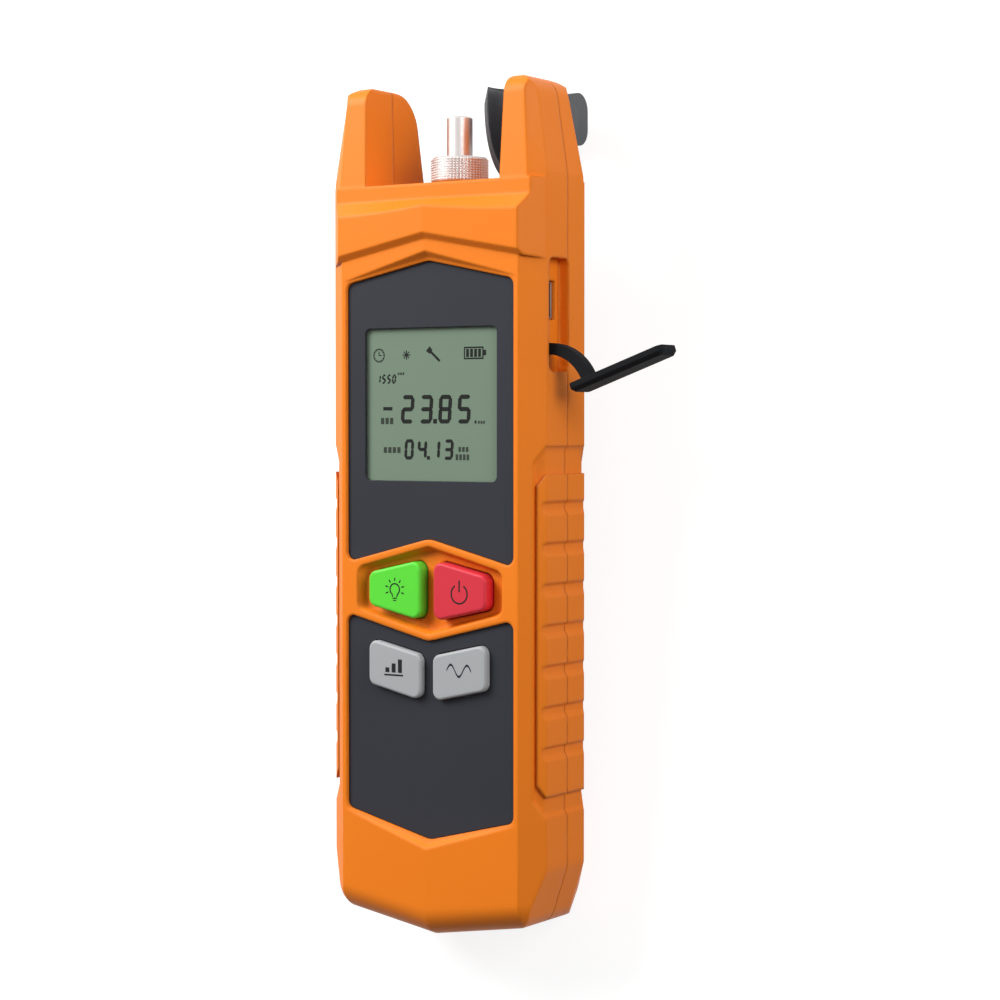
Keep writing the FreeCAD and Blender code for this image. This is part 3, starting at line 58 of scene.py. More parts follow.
def linear(hex_colour: str) -> tuple[float, float, float, float]:
    """Turn an sRGB hex colour into the linear values that shaders take.

    Args:
        hex_colour: Six hex digits, with or without a leading hash.

    Returns:
        Linear red, green, blue and an alpha of 1.
    """
    digits = hex_colour.lstrip("#")
    channels = [int(digits[i : i + 2], 16) / 255 for i in (0, 2, 4)]
    curved = [c / 12.92 if c <= 0.04045 else ((c + 0.055) / 1.055) ** 2.4 for c in channels]
    return (*curved, 1.0)


def add_node(tree: bpy.types.NodeTree, kind: str, settings: dict | None = None, **links: object) -> bpy.types.Node:
    """Add one shader node with its settings, values and links.

    Args:
        tree: The node tree that gets the node.
        kind: Blender's name for the node type.
        settings: Attributes to set on the node itself.
        **links: Input name, with underscores for spaces, or i and the input's number, to a value or to
            another node's output.

    Returns:
        The new node.
    """
    node = tree.nodes.new(kind)
    for name, value in (settings or {}).items():
        setattr(node, name, value)
    for name, value in links.items():
        numbered = name[0] == "i" and name[1:].isdigit()
        socket = node.inputs[int(name[1:]) if numbered else name.replace("_", " ")]
        if isinstance(value, bpy.types.NodeSocket):
            tree.links.new(value, socket)
        else:
            socket.default_value = value
    return node


@dataclass
class MeterAxes:
    """The meter's own axes, in which it stands upright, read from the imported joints.

    x runs to the meter's right, y along its length towards the guard horns and z out of its front.
    """

    record: dict
    pivot_y: float = 169.5
    pivot_z: float = 0.9
    matrix: Matrix = field(init=False)

    def __post_init__(self) -> None:
        """Work out how the meter is turned and where its own origin lies."""
        joints = {joint["name"]: joint for joint in self.record["behaviour"]["joints"]}
        along = Vector(joints["adapter_lift"]["axis"])
        self.tilt = math.atan2(along.z, along.y)
        turn = Matrix.Rotation(self.tilt, 4, "X")
        pivot = Vector(joints["dust_cover_flip"]["pos_m"])
        pivot.x = Vector(joints["nut_turn"]["pos_m"]).x
        origin = pivot - turn @ Vector((0, self.pivot_y * MM, self.pivot_z * MM))
        self.matrix = Matrix.Translation(origin) @ turn

    def place(self, piece: bpy.types.Object) -> bpy.types.Object:
        """Move a piece made on the meter's own axes into the row frame, with its place in its mesh."""
        bpy.context.view_layer.update()
        piece.data.transform(self.matrix @ piece.matrix_world)
        piece.matrix_world = Matrix.Identity(4)
        return piece

    def point(self, x: float, y: float, z: float) -> Vector:
        """Row-frame place of a point given in millimetres on the meter's own axes."""
        return self.matrix @ (Vector((x, y, z)) * MM)

    def direction(self, x: float, y: float, z: float) -> Vector:
        """Row-frame direction of one given on the meter's own axes."""
        return (self.matrix.to_3x3() @ Vector((x, y, z))).normalized()


class Workbench:
    """Mesh operators as used by hand, one piece at a time."""

    @staticmethod
    def clear() -> None:
        """Leave edit mode and deselect everything."""
        if bpy.context.object and bpy.context.object.mode != "OBJECT":
            bpy.ops.object.mode_set(mode="OBJECT")
        bpy.ops.object.select_all(action="DESELECT")

    @staticmethod
    def adopt(name: str) -> bpy.types.Object:
        """Name the piece that the last operator made."""
        piece = bpy.context.object
        piece.name = name
        piece.data.name = name
        return piece

    @classmethod
    def plate(cls, name: str, outline: Sequence[tuple[float, float]], low: float, high: float) -> bpy.types.Object:
        """A flat plate: a ring of points drawn to its outline, filled and extruded.

        Args:
            name: The piece's name.
            outline: Corners in millimetres, anticlockwise seen from the front.
            low: Height of the plate's underside, in millimetres.
            high: Height of its top.

        Returns:
            The plate, on the meter's own axes.
        """
        cls.clear()
        bpy.ops.mesh.primitive_circle_add(vertices=len(outline), radius=MM, fill_type="NGON")
        piece = cls.adopt(name)
        for vertex, (x, y) in zip(piece.data.vertices, outline):
            vertex.co = Vector((x, y, low)) * MM
        bpy.ops.object.mode_set(mode="EDIT")
        bpy.ops.mesh.select_all(action="SELECT")
        bpy.ops.mesh.extrude_region_move(TRANSFORM_OT_translate={"value": (0, 0, (high - low) * MM)})
        bpy.ops.mesh.select_all(action="SELECT")
        bpy.ops.mesh.normals_make_consistent(inside=False)
        bpy.ops.object.mode_set(mode="OBJECT")
        return piece

    @classmethod
    def join(cls, name: str, pieces: Sequence[bpy.types.Object]) -> bpy.types.Object:
        """Join pieces into one object."""
        cls.clear()
        for piece in pieces:
            piece.select_set(True)
        bpy.context.view_layer.objects.active = pieces[0]
        bpy.ops.object.join()
        return cls.adopt(name)


# ------------------------------------------------------------------------------------------
# Finishes
# ------------------------------------------------------------------------------------------


@dataclass(frozen=True)
class Finish:
    """What every finish shares: a name and a material that is made once."""

    name: str

    def material(self) -> bpy.types.Material:
        """The finish's material, made the first time it is asked for."""
        found = bpy.data.materials.get(self.name)
        if found:
            return found
        made = bpy.data.materials.new(self.name)
        made.use_nodes = True
        made.node_tree.nodes.clear()
        shader = self.shade(made.node_tree)
        add_node(made.node_tree, "ShaderNodeOutputMaterial", None, Surface=shader.outputs[0])
        return made

    def shade(self, tree: bpy.types.NodeTree) -> bpy.types.Node:
        """Build the shader; each finish has its own."""
        raise NotImplementedError

    def cover(self, piece: bpy.types.Object) -> None:
        """Give the piece this finish all over."""
        if not piece.data.materials:
            piece.data.materials.append(None)
        for index in range(len(piece.data.materials)):
            piece.data.materials[index] = self.material()


@dataclass(frozen=True)
class MouldedPlastic(Finish):
    """Injection-moulded plastic with a fine spark-eroded grain, rounded mould edges and faint handling wear."""

    colour: str = "#E07020"
    shade_colour: str = "#D86A1C"
    roughness: float = 0.42
    grain_mm: float = 0.35
    grain_depth: float = 0.05
    edge_mm: float = 0.35
    specular: float = 0.5

    def shade(self, tree: bpy.types.NodeTree) -> bpy.types.Node:
        """Mottle the colour slightly, vary the gloss and press the grain into the surface."""
        place = add_node(tree, "ShaderNodeTexCoord").outputs["Object"]
        # Pigment never mixes quite evenly: a slow drift over about 25 mm.
        drift = add_node(tree, "ShaderNodeTexNoise", None, Vector=place, Scale=40.0, Detail=2.0, Roughness=0.5)
        tone = add_node(tree, "ShaderNodeMix", {"data_type": "RGBA"}, Factor=drift.outputs["Fac"],
                        i6=linear(self.colour), i7=linear(self.shade_colour))
        # Handling polishes some spots: the gloss varies over about 8 mm.
        rub = add_node(tree, "ShaderNodeTexNoise", None, Vector=place, Scale=130.0, Detail=3.0, Roughness=0.6)
        gloss = add_node(tree, "ShaderNodeMapRange", None, Value=rub.outputs["Fac"], To_Min=self.roughness - 0.06,
                         To_Max=self.roughness + 0.06)
        grain = add_node(tree, "ShaderNodeTexNoise", None, Vector=place, Scale=1.0 / (self.grain_mm * MM),
                         Detail=2.0, Roughness=0.6)
        edge = add_node(tree, "ShaderNodeBevel", {"samples": 6}, Radius=self.edge_mm * MM)
        bump = add_node(tree, "ShaderNodeBump", None, Strength=self.grain_depth, Distance=0.05 * MM,
                        Height=grain.outputs["Fac"], Normal=edge.outputs["Normal"])
        return add_node(tree, "ShaderNodeBsdfPrincipled", None, Base_Color=tone.outputs[2],
                        Roughness=gloss.outputs["Result"], Normal=bump.outputs["Normal"],
                        Specular_IOR_Level=self.specular, IOR=1.49)


@dataclass(frozen=True)
class PlatedMetal(Finish):
    """Turned brass or steel under bright nickel: a mirror with the faintest lathe rings and a warm cast."""

    colour: str = "#D8D0CC"
    roughness: float = 0.16
    ring_mm: float = 0.25
    ring_depth: float = 0.06
    edge_mm: float = 0.12

    def shade(self, tree: bpy.types.NodeTree) -> bpy.types.Node:
        """Blur the mirror unevenly and turn fine rings into it."""
        place = add_node(tree, "ShaderNodeTexCoord").outputs["Object"]
        haze = add_node(tree, "ShaderNodeTexNoise", None, Vector=place, Scale=300.0, Detail=2.0)
        gloss = add_node(tree, "ShaderNodeMapRange", None, Value=haze.outputs["Fac"],
                         To_Min=self.roughness - 0.05, To_Max=self.roughness + 0.08)
        rings = add_node(tree, "ShaderNodeTexWave", {"bands_direction": "Y"}, Vector=place,
                         Scale=0.5 / (self.ring_mm * MM) / math.pi, Distortion=0.4, Detail=1.0)
        edge = add_node(tree, "ShaderNodeBevel", {"samples": 6}, Radius=self.edge_mm * MM)
        bump = add_node(tree, "ShaderNodeBump", None, Strength=self.ring_depth, Distance=0.02 * MM,
                        Height=rings.outputs["Fac"], Normal=edge.outputs["Normal"])
        return add_node(tree, "ShaderNodeBsdfPrincipled", None, Base_Color=linear(self.colour), Metallic=1.0,
                        Roughness=gloss.outputs["Result"], Normal=bump.outputs["Normal"])


@dataclass(frozen=True)
class LiquidCrystal(Finish):
    """Reflective liquid-crystal cell: an even grey-green film with the finest sparkle, behind its polariser."""

    colour: str = "#8A9D89"
    shade_colour: str = "#809280"

    def shade(self, tree: bpy.types.NodeTree) -> bpy.types.Node:
        """A slow change of tone over a soft, dull face."""
        place = add_node(tree, "ShaderNodeTexCoord").outputs["Object"]
        drift = add_node(tree, "ShaderNodeTexNoise", None, Vector=place, Scale=45.0, Detail=1.0)
        grit = add_node(tree, "ShaderNodeTexNoise", None, Vector=place, Scale=4500.0, Detail=1.0)
        tone = add_node(tree, "ShaderNodeMix", {"data_type": "RGBA"}, Factor=drift.outputs["Fac"],
                        i6=linear(self.colour), i7=linear(self.shade_colour))
        bump = add_node(tree, "ShaderNodeBump", None, Strength=0.05, Distance=0.02 * MM, Height=grit.outputs["Fac"])
        return add_node(tree, "ShaderNodeBsdfPrincipled", None, Base_Color=tone.outputs[2], Roughness=0.6,
                        Normal=bump.outputs["Normal"], Specular_IOR_Level=0.05)


@dataclass(frozen=True)
class ClearWindow(Finish):
    """Clear polycarbonate window with a hard coat: nearly all of the light goes through it."""

    def shade(self, tree: bpy.types.NodeTree) -> bpy.types.Node:
        """Let the cell behind show through, with a faint scuffed gloss on top."""
        place = add_node(tree, "ShaderNodeTexCoord").outputs["Object"]
        scuff = add_node(tree, "ShaderNodeTexNoise", None, Vector=place, Scale=220.0, Detail=4.0)
        gloss = add_node(tree, "ShaderNodeMapRange", None, Value=scuff.outputs["Fac"], To_Min=0.05, To_Max=0.12)
        return add_node(tree, "ShaderNodeBsdfPrincipled", None, Base_Color=linear("#DCE4DC"),
                        Roughness=gloss.outputs["Result"], Alpha=0.012, IOR=1.2,
                        Specular_IOR_Level=0.05)


@dataclass(frozen=True)
class PrintedInk(Finish):
    """Thin screen-printed or liquid-crystal mark: dull, dark and a touch uneven at its edges."""

    colour: str = "#1B211C"

    def shade(self, tree: bpy.types.NodeTree) -> bpy.types.Node:
        """Vary the ink's tone by a hair."""
        place = add_node(tree, "ShaderNodeTexCoord").outputs["Object"]
        spread = add_node(tree, "ShaderNodeTexNoise", None, Vector=place, Scale=900.0, Detail=2.0)
        red, green, blue, _ = linear(self.colour)
        paler = (red * 1.3 + 0.004, green * 1.3 + 0.004, blue * 1.3 + 0.004, 1.0)
        tone = add_node(tree, "ShaderNodeMix", {"data_type": "RGBA"}, Factor=spread.outputs["Fac"],
                        i6=linear(self.colour), i7=paler)
        return add_node(tree, "ShaderNodeBsdfPrincipled", None, Base_Color=tone.outputs[2], Roughness=0.7,
                        Specular_IOR_Level=0.1)


# Moulded ABS: an even satin orange, with mould edges rounded softly over about a millimetre.
ORANGE = MouldedPlastic("orange_abs_shell", "#EF801E", "#E97B1B", roughness=0.45, grain_mm=0.4, grain_depth=0.04,
                        edge_mm=0.9, specular=0.16)
# Matt polycarbonate sheet: a flat charcoal with a fine texture and crisp cut edges.
PANEL = MouldedPlastic("charcoal_polycarbonate_panel", "#34353B", "#303137", roughness=0.5, grain_mm=0.2,
                       grain_depth=0.08, edge_mm=0.15, specular=0.1)
# Moulded silicone keys: strong, even colours with a soft gleam on their rounded edges.
GREEN_KEY = MouldedPlastic("green_silicone_key", "#5BD838", "#54D032", roughness=0.45, grain_depth=0.03,
                           edge_mm=0.25, specular=0.3)
RED_KEY = MouldedPlastic("red_silicone_key", "#D23040", "#CB2A39", roughness=0.45, grain_depth=0.03, edge_mm=0.25,
                         specular=0.3)
GREY_KEY = MouldedPlastic("grey_silicone_key", "#A6A8AA", "#A0A2A4", roughness=0.5, grain_depth=0.03, edge_mm=0.25,
                          specular=0.3)
# Thermoplastic elastomer: nearly black and dull, with hardly a highlight.
RUBBER = MouldedPlastic("black_tpe_rubber", "#1B1C1E", "#17181A", roughness=0.7, grain_mm=0.5, grain_depth=0.1,
                        edge_mm=0.3, specular=0.06)
# Moulded polypropylene: a waxy dark grey whose curves carry a broad highlight.
HOOD = MouldedPlastic("black_polypropylene_hood", "#3E4044", "#393B3F", roughness=0.4, grain_mm=0.4,
                      grain_depth=0.06, edge_mm=0.5, specular=0.45)
# Inside parts: nylon, white ABS, solder mask over copper, fired zirconia and open-cell foam.
DARK_PART = MouldedPlastic("black_nylon_insert", "#1C1D1F", "#181919", roughness=0.5, edge_mm=0.1)
PALE_PART = MouldedPlastic("white_abs_insert", "#D9D9D4", "#D2D2CC", roughness=0.5, edge_mm=0.15)
BOARD = MouldedPlastic("green_solder_mask", "#1F5A35", "#1B5230", roughness=0.3, grain_mm=0.3, edge_mm=0.1)
CERAMIC = MouldedPlastic("white_zirconia", "#F2F1EC", "#ECEBE5", roughness=0.12, grain_depth=0.0, edge_mm=0.05)
FOAM = MouldedPlastic("black_foam", "#2A2A2B", "#232324", roughness=0.9, grain_mm=0.8, grain_depth=0.4, edge_mm=0.2)
# Satin nickel over turned brass: pale and warm, blurring what stands round it.
NICKEL = PlatedMetal("bright_nickel_on_brass", "#C9C4C2", roughness=0.4)
# Zinc-plated steel and the aluminium foil of a pouch cell: greyer, and a little sharper.
STEEL = PlatedMetal("zinc_plated_steel", "#B9BABC", roughness=0.28)
POUCH = PlatedMetal("aluminium_pouch", "#C4C6C9", roughness=0.35)
CELL = LiquidCrystal("liquid_crystal_cell", "#758775", "#70826F")
WINDOW = ClearWindow("clear_polycarbonate_window")
# Driven segments look almost black, small marks between them a little paler.
SEGMENT = PrintedInk("liquid_crystal_segment", "#0A0C0A")
FAINT_SEGMENT = PrintedInk("idle_liquid_crystal_segment", "#2C322B")
DARK_INK = PrintedInk("black_screen_print", "#1D1E20")


# ------------------------------------------------------------------------------------------
# Outlines of printed marks, in millimetres
# ------------------------------------------------------------------------------------------

Outline = list[tuple[float, float]]


def bar(x0: float, y0: float, x1: float, y1: float) -> Outline:
    """A plain rectangle."""
    return [(x0, y0), (x1, y0), (x1, y1), (x0, y1)]


def rounded_bar(x0: float, y0: float, x1: float, y1: float, radius: float, steps: int = 6) -> Outline:
    """A rectangle with round corners."""
    centres = ((x1 - radius, y1 - radius), (x0 + radius, y1 - radius), (x0 + radius, y0 + radius),
               (x1 - radius, y0 + radius))
    angles = [[math.radians(90 * quarter + 90 * i / steps) for i in range(steps + 1)] for quarter in range(4)]
    return [around(centre, radius, a) for centre, turn in zip(centres, angles) for a in turn]


def stroke(start: tuple[float, float], end: tuple[float, float], width: float) -> Outline:
    """A straight stroke with square ends."""
    a, b = Vector(start), Vector(end)
    side = (b - a).normalized().orthogonal() * width / 2
    return [tuple(a - side), tuple(b - side), tuple(b + side), tuple(a + side)]


def around(centre: tuple[float, float], radius: float, angle: float) -> tuple[float, float]:
    """The point at a distance from a centre, in the direction of an angle in radians."""
    return (centre[0] + radius * math.cos(angle), centre[1] + radius * math.sin(angle))


def arc(centre: tuple[float, float], radius: float, width: float, start: float, end: float,
        steps: int = 20) -> Outline:
    """A curved stroke between two angles in degrees, anticlockwise."""
    angles = [math.radians(start + (end - start) * i / steps) for i in range(steps + 1)]
    outer = [around(centre, radius + width / 2, a) for a in angles]
    inner = [around(centre, radius - width / 2, a) for a in angles]
    return outer + inner[::-1]


@dataclass(frozen=True)
class SevenSegments:
    """Seven-segment figures with a slight slant, as a display drives them."""

    height: float
    width: float
    thickness: float
    slant: float = 0.0
    gap: float = 0.12

    LIT = {"0": "abcdef", "1": "bc", "2": "abdeg", "3": "abcdg", "4": "bcfg", "5": "acdfg", "6": "acdefg",
           "7": "abc", "8": "abcdefg", "9": "abcdfg", "-": "g"}

    def segment(self, letter: str) -> Outline:
        """One segment's outline, in a figure whose lower left corner is the origin."""
        w, h, t, g = self.width, self.height, self.thickness, self.gap
        ends = {"a": ((0, h), (w, h)), "b": ((w, h), (w, h / 2)), "c": ((w, h / 2), (w, 0)), "d": ((0, 0), (w, 0)),
                "e": ((0, 0), (0, h / 2)), "f": ((0, h / 2), (0, h)), "g": ((0, h / 2), (w, h / 2))}
        start, end = (Vector(point) for point in ends[letter])
        inset = (Vector((w / 2, h / 2)) - (start + end) / 2)
        inset = inset.normalized() * t / 2 if letter != "g" else Vector((0, 0))
        start, end = start + inset, end + inset
        along = (end - start).normalized()
        side = along.orthogonal() * t / 2
        start, end = start + along * g, end - along * g
        tip = along * t / 2
        return [tuple(p) for p in (start, start + tip - side, end - tip - side, end, end - tip + side,
                                   start + tip + side)]

    def write(self, text: str, x: float, y: float, pitch: float, point_after: int | None = None) -> list[Outline]:
        """Outlines of a row of figures.

        Args:
            text: Digits, minus signs and spaces.
            x: Left edge of the first figure.
            y: Foot of the row.
            pitch: Distance from one figure to the next.
            point_after: Index of the figure that a decimal point follows.

        Returns:
            One outline for each lit segment.
        """
        outlines: list[Outline] = []
        for index, figure in enumerate(text):
            left = x + index * pitch
            for letter in self.LIT.get(figure, ""):
                outlines.append([(left + px + py * self.slant, y + py) for px, py in self.segment(letter)])
            if index == point_after:
                foot = left + self.width + (pitch - self.width) / 2
                t = self.thickness * 0.55
                outlines.append(bar(foot - t, y, foot + t, y + t * 2))
        return outlines


# ------------------------------------------------------------------------------------------
# Sub-assemblies
# ------------------------------------------------------------------------------------------


@dataclass
class SubAssembly:
    """What each sub-assembly works with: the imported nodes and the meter's axes."""

    nodes: dict[str, bpy.types.Object]
    axes: MeterAxes

    def dress(self, finish: Finish, *names: str) -> None:
        """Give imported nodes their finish."""
        for name in names:
            finish.cover(self.nodes[name])
            log.info("dressed %s in %s", name, finish.name)

    def finished(self, piece: bpy.types.Object, body: str, finish: Finish, slot: str) -> bpy.types.Object:
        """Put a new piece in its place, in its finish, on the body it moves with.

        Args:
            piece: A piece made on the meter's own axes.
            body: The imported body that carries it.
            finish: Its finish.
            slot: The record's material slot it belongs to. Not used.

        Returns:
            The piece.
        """
        self.axes.place(piece)
        finish.cover(piece)
        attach(piece, body)
        log.info("made %s: %d faces, rides on %s", piece.name, len(piece.data.polygons), body)
        return piece

    def marks(self, name: str, outlines: Iterable[Outline], low: float, height: float = 0.03) -> bpy.types.Object:
        """Thin printed marks as one piece."""
        plates = [Workbench.plate(f"{name}_{index}", outline, low, low + height)
                  for index, outline in enumerate(outlines)]
        return Workbench.join(name, plates)


@dataclass
class Housing(SubAssembly):
    """Orange shells and the dark panels set into the front."""

    def build(self) -> None:
        """Dress the shells, panels and fasteners."""
        self.dress(ORANGE, "front_shell", "rear_shell")
        self.dress(PANEL, "upper_panel", "lower_panel")
        self.dress(STEEL, "case_screws", "board_screws", "cover_pin")
        self.dress(BOARD, "circuit_board")
        self.dress(DARK_PART, "tact_switches")
        self.dress(POUCH, "battery")
        self.dress(FOAM, "battery_pad")


@dataclass
class Display(SubAssembly):
    """Liquid-crystal display behind its window, with the film on its face and what it shows."""

    film_low: float = 22.2 - 0.026
    mark_low: float = 22.2 + 0.006
    left: float = -16.35
    right: float = 16.35
    low: float = 94.2
    top: float = 125.7
    corner: float = 1.25
    large: SevenSegments = SevenSegments(5.9, 2.95, 0.86, slant=0.06)
    middle: SevenSegments = SevenSegments(4.2, 2.1, 0.68, slant=0.06)
    small: SevenSegments = SevenSegments(1.95, 0.88, 0.38, slant=0.12)
    clock_at: tuple[float, float] = (-13.4, 120.2)
    sun_at: tuple[float, float] = (-6.4, 120.2)

    def build(self) -> None:
        """Dress the stack and draw what the display shows."""
        self.dress(CELL, "lcd_glass")
        self.dress(PALE_PART, "lcd_backlight", "display_frame")
        self.dress(WINDOW, "display_lens")
        # The cell and the window touch face to face, so a film that stands out by a hair is what shows.
        film = rounded_bar(self.left, self.low, self.right, self.top, self.corner)
        self.finished(self.marks("display_polariser", [film], self.film_low), "housing", CELL, "lcd")
        lit = self.figures() + self.icons()
        self.finished(self.marks("display_figures", lit, self.mark_low), "housing", SEGMENT, "lcd")
        self.finished(self.marks("display_small_marks", self.small_marks(), self.mark_low), "housing",
                      FAINT_SEGMENT, "lcd")

    def figures(self) -> list[Outline]:
        """A large reading, a smaller one under it and a small one over it: plain numbers."""
        rows = self.large.write("2385", -7.75, 106.0, 4.7, point_after=1)
        rows.append(bar(-12.3, 108.75, -10.0, 109.45))
        rows += self.middle.write("0413", -6.9, 98.55, 3.3, point_after=1)
        rows += self.small.write("1550", -14.0, 114.3, 1.3)
        rows.append(bar(10.55, 106.0, 11.0, 106.6))
        return rows

    def small_marks(self) -> list[Outline]:
        """Short strokes where the unit marks stand, without letters."""
        # Left edge, foot and top of the first stroke, then width, pitch and how many.
        combs = ((-12.9, 105.9, 107.2, 0.8, 1.15, 3), (-12.2, 99.9, 101.1, 0.8, 1.15, 4),
                 (11.4, 105.95, 106.55, 0.4, 0.62, 3), (6.6, 100.2, 101.2, 0.6, 0.9, 3),
                 (5.9, 98.5, 99.7, 0.6, 0.9, 4), (-8.6, 116.1, 116.6, 0.4, 0.6, 3))
        return [bar(left + pitch * i, foot, left + width + pitch * i, top)
                for left, foot, top, width, pitch, count in combs for i in range(count)]

    def icons(self) -> list[Outline]:
        """A clock, a sun, a torch and a battery gauge in the top row."""
        x, y = self.clock_at
        clock = [arc((x, y), 1.35, 0.2, 0, 359, 28), stroke((x, y), (x, 121.0), 0.2),
                 stroke((x, y), (-12.75, y), 0.2)]
        clock += [stroke(around((x, y), 1.0, a), around((x, y), 1.25, a), 0.14)
                  for a in (math.radians(30 * i) for i in range(12))]
        sun = [arc(self.sun_at, 0.2, 0.4, 0, 359, 18)]
        sun += [stroke(around(self.sun_at, 0.45, a), around(self.sun_at, 0.95, a), 0.22)
                for a in (math.radians(45 * i) for i in range(8))]
        torch = [stroke((-0.25, 120.75), (1.95, 118.85), 0.5), stroke((-0.75, 121.2), (-0.25, 120.75), 1.15),
                 stroke((-1.0, 121.45), (-0.75, 121.2), 1.3)]
        low, top = 119.1, 121.65
        gauge = [bar(7.95, low, 8.2, top), bar(12.45, low, 12.7, top), bar(8.2, top - 0.3, 12.45, top),
                 bar(8.2, low, 12.45, low + 0.3), bar(12.7, 119.85, 13.35, 120.95)]
        gauge += [bar(8.5 + 0.98 * i, low + 0.45, 9.15 + 0.98 * i, top - 0.45) for i in range(4)]
        return clock + sun + torch + gauge


class KeySymbol(Enum):
    """What each key shows."""

    LAMP = "key_light"
    POWER = "key_power"
    LEVELS = "key_reference"
    WAVE = "key_wavelength"


@dataclass
class Keypad(SubAssembly):
    """Two coloured keys in their well and two grey ones below, each with a plain symbol."""

    top: float = 24.4
    print_height: float = 0.02

    def build(self) -> None:
        """Dress the keys and print their symbols."""
        self.dress(GREEN_KEY, "key_light")
        self.dress(RED_KEY, "key_power")
        self.dress(GREY_KEY, "key_reference", "key_wavelength")
        symbols = {
            KeySymbol.LAMP: (self.lamp((-7.9, 71.5)), "green_key"),
            KeySymbol.POWER: (self.power((8.2, 71.4)), "red_key"),
            KeySymbol.LEVELS: (self.levels((-8.1, 55.5)), "grey_key"),
            KeySymbol.WAVE: (self.wave((8.1, 55.5)), "grey_key"),
        }
        for symbol, (outlines, slot) in symbols.items():
            piece = self.marks(f"{symbol.value}_symbol", outlines, self.top, self.print_height)
            self.finished(piece, symbol.value, DARK_INK, slot)

    def lamp(self, at: tuple[float, float]) -> list[Outline]:
        """A bulb with seven rays over two base bars."""
        x, y = at
        bulb = arc((x, y + 0.1), 1.2, 0.3, -55, 235, 26)
        neck = [stroke((x + 0.68 * side, y - 0.85), (x + 0.5 * side, y - 1.45), 0.28) for side in (-1, 1)]
        base = [bar(x - 0.55, y - 1.85, x + 0.55, y - 1.6), bar(x - 0.4, y - 2.3, x + 0.4, y - 2.05)]
        glow_at = (x, y + 0.1)
        rays = [stroke(around(glow_at, 1.75, a), around(glow_at, 2.45, a), 0.28)
                for a in map(math.radians, (-20, 16, 53, 90, 127, 164, 200))]
        return [bulb, *neck, *base, *rays]

    def power(self, at: tuple[float, float]) -> list[Outline]:
        """A broken ring with a bar in its gap."""
        x, y = at
        return [arc((x, y - 0.2), 1.95, 0.34, 122, 418, 36), bar(x - 0.17, y + 0.2, x + 0.17, y + 2.6)]

    def levels(self, at: tuple[float, float]) -> list[Outline]:
        """Three rising bars on a base line."""
        x, y = at
        return [bar(x - 2.2 + 1.6 * i, y - 1.2, x - 1.2 + 1.6 * i, y - 0.2 + 0.9 * i) for i in range(3)] + [
            bar(x - 2.5, y - 1.9, x + 2.3, y - 1.55)]

    def wave(self, at: tuple[float, float]) -> list[Outline]:
        """One and a half periods of a wave."""
        x, y = at
        steps = 48
        line = [(x - 3.0 + 6.0 * i / steps, y + 1.2 * math.sin(3 * math.pi * i / steps)) for i in range(steps + 1)]
        upper = [(px, py + 0.24) for px, py in line]
        lower = [(px, py - 0.24) for px, py in line]
        return [lower + upper[::-1]]


@dataclass
class Adapter(SubAssembly):
    """Detector barrel, ferrule tube and the knurled nut round it."""

    axis_z: float = 11.9
    outer: float = 5.87
    low: float = 156.1
    high: float = 161.4
    ridges: int = 52
    rows: int = 9
    rim: float = 0.35
    clearance: float = 0.01
    groove: float = 0.05
    slope: float = 0.17
    point_depth: float = 0.22

    def build(self) -> None:
        """Dress the metal and cut the knurl."""
        self.dress(NICKEL, "detector_barrel", "adapter_tube", "barrel_nut", "knurled_nut")
        self.dress(CERAMIC, "ferrule_sleeve")
        self.dress(STEEL, "photodiode")
        self.knurl()

    def knurl(self) -> None:
        """A sleeve of small square points round the nut, between two narrow plain rims."""
        Workbench.clear()
        depth = self.high - self.low - 2 * self.rim
        centre = (0, (self.low + self.high) / 2 * MM, self.axis_z * MM)
        bpy.ops.mesh.primitive_cylinder_add(
            vertices=self.ridges, radius=(self.outer + self.clearance) * MM, depth=depth * MM,
            end_fill_type="NOTHING", location=centre, rotation=(-math.pi / 2, 0, 0))
        sleeve = Workbench.adopt("nut_knurl")
        bpy.ops.object.transform_apply(location=False, rotation=True, scale=False)
        bpy.ops.object.mode_set(mode="EDIT")
        for row in range(1, self.rows):
            height = self.low + self.rim + depth * row / self.rows
            bpy.ops.mesh.select_all(action="SELECT")
            bpy.ops.mesh.bisect(plane_co=(0, height * MM, 0), plane_no=(0, 1, 0))
        bpy.ops.mesh.select_all(action="SELECT")
        bpy.ops.mesh.inset(use_individual=True, thickness=self.groove * MM, depth=0.0)
        bpy.ops.mesh.inset(use_individual=True, thickness=self.slope * MM, depth=self.point_depth * MM)
        bpy.ops.object.mode_set(mode="OBJECT")
        self.finished(sleeve, "nut", NICKEL, "nickel")


@dataclass
class ChargingPort(SubAssembly):
    """Socket in the right side and its rubber cover."""

    def build(self) -> None:
        """Dress the socket, its tongue and the cover."""
        self.dress(STEEL, "usb_socket")
        self.dress(DARK_PART, "usb_tongue")
        self.dress(RUBBER, "port_cover")


@dataclass
class DustCover(SubAssembly):
    """Hood that flips over the adapter, and the bracket that carries it."""

    def build(self) -> None:
        """Dress the hood and its bracket."""
        self.dress(HOOD, "dust_cover", "cover_bracket")


# ------------------------------------------------------------------------------------------
# Studio
# ------------------------------------------------------------------------------------------


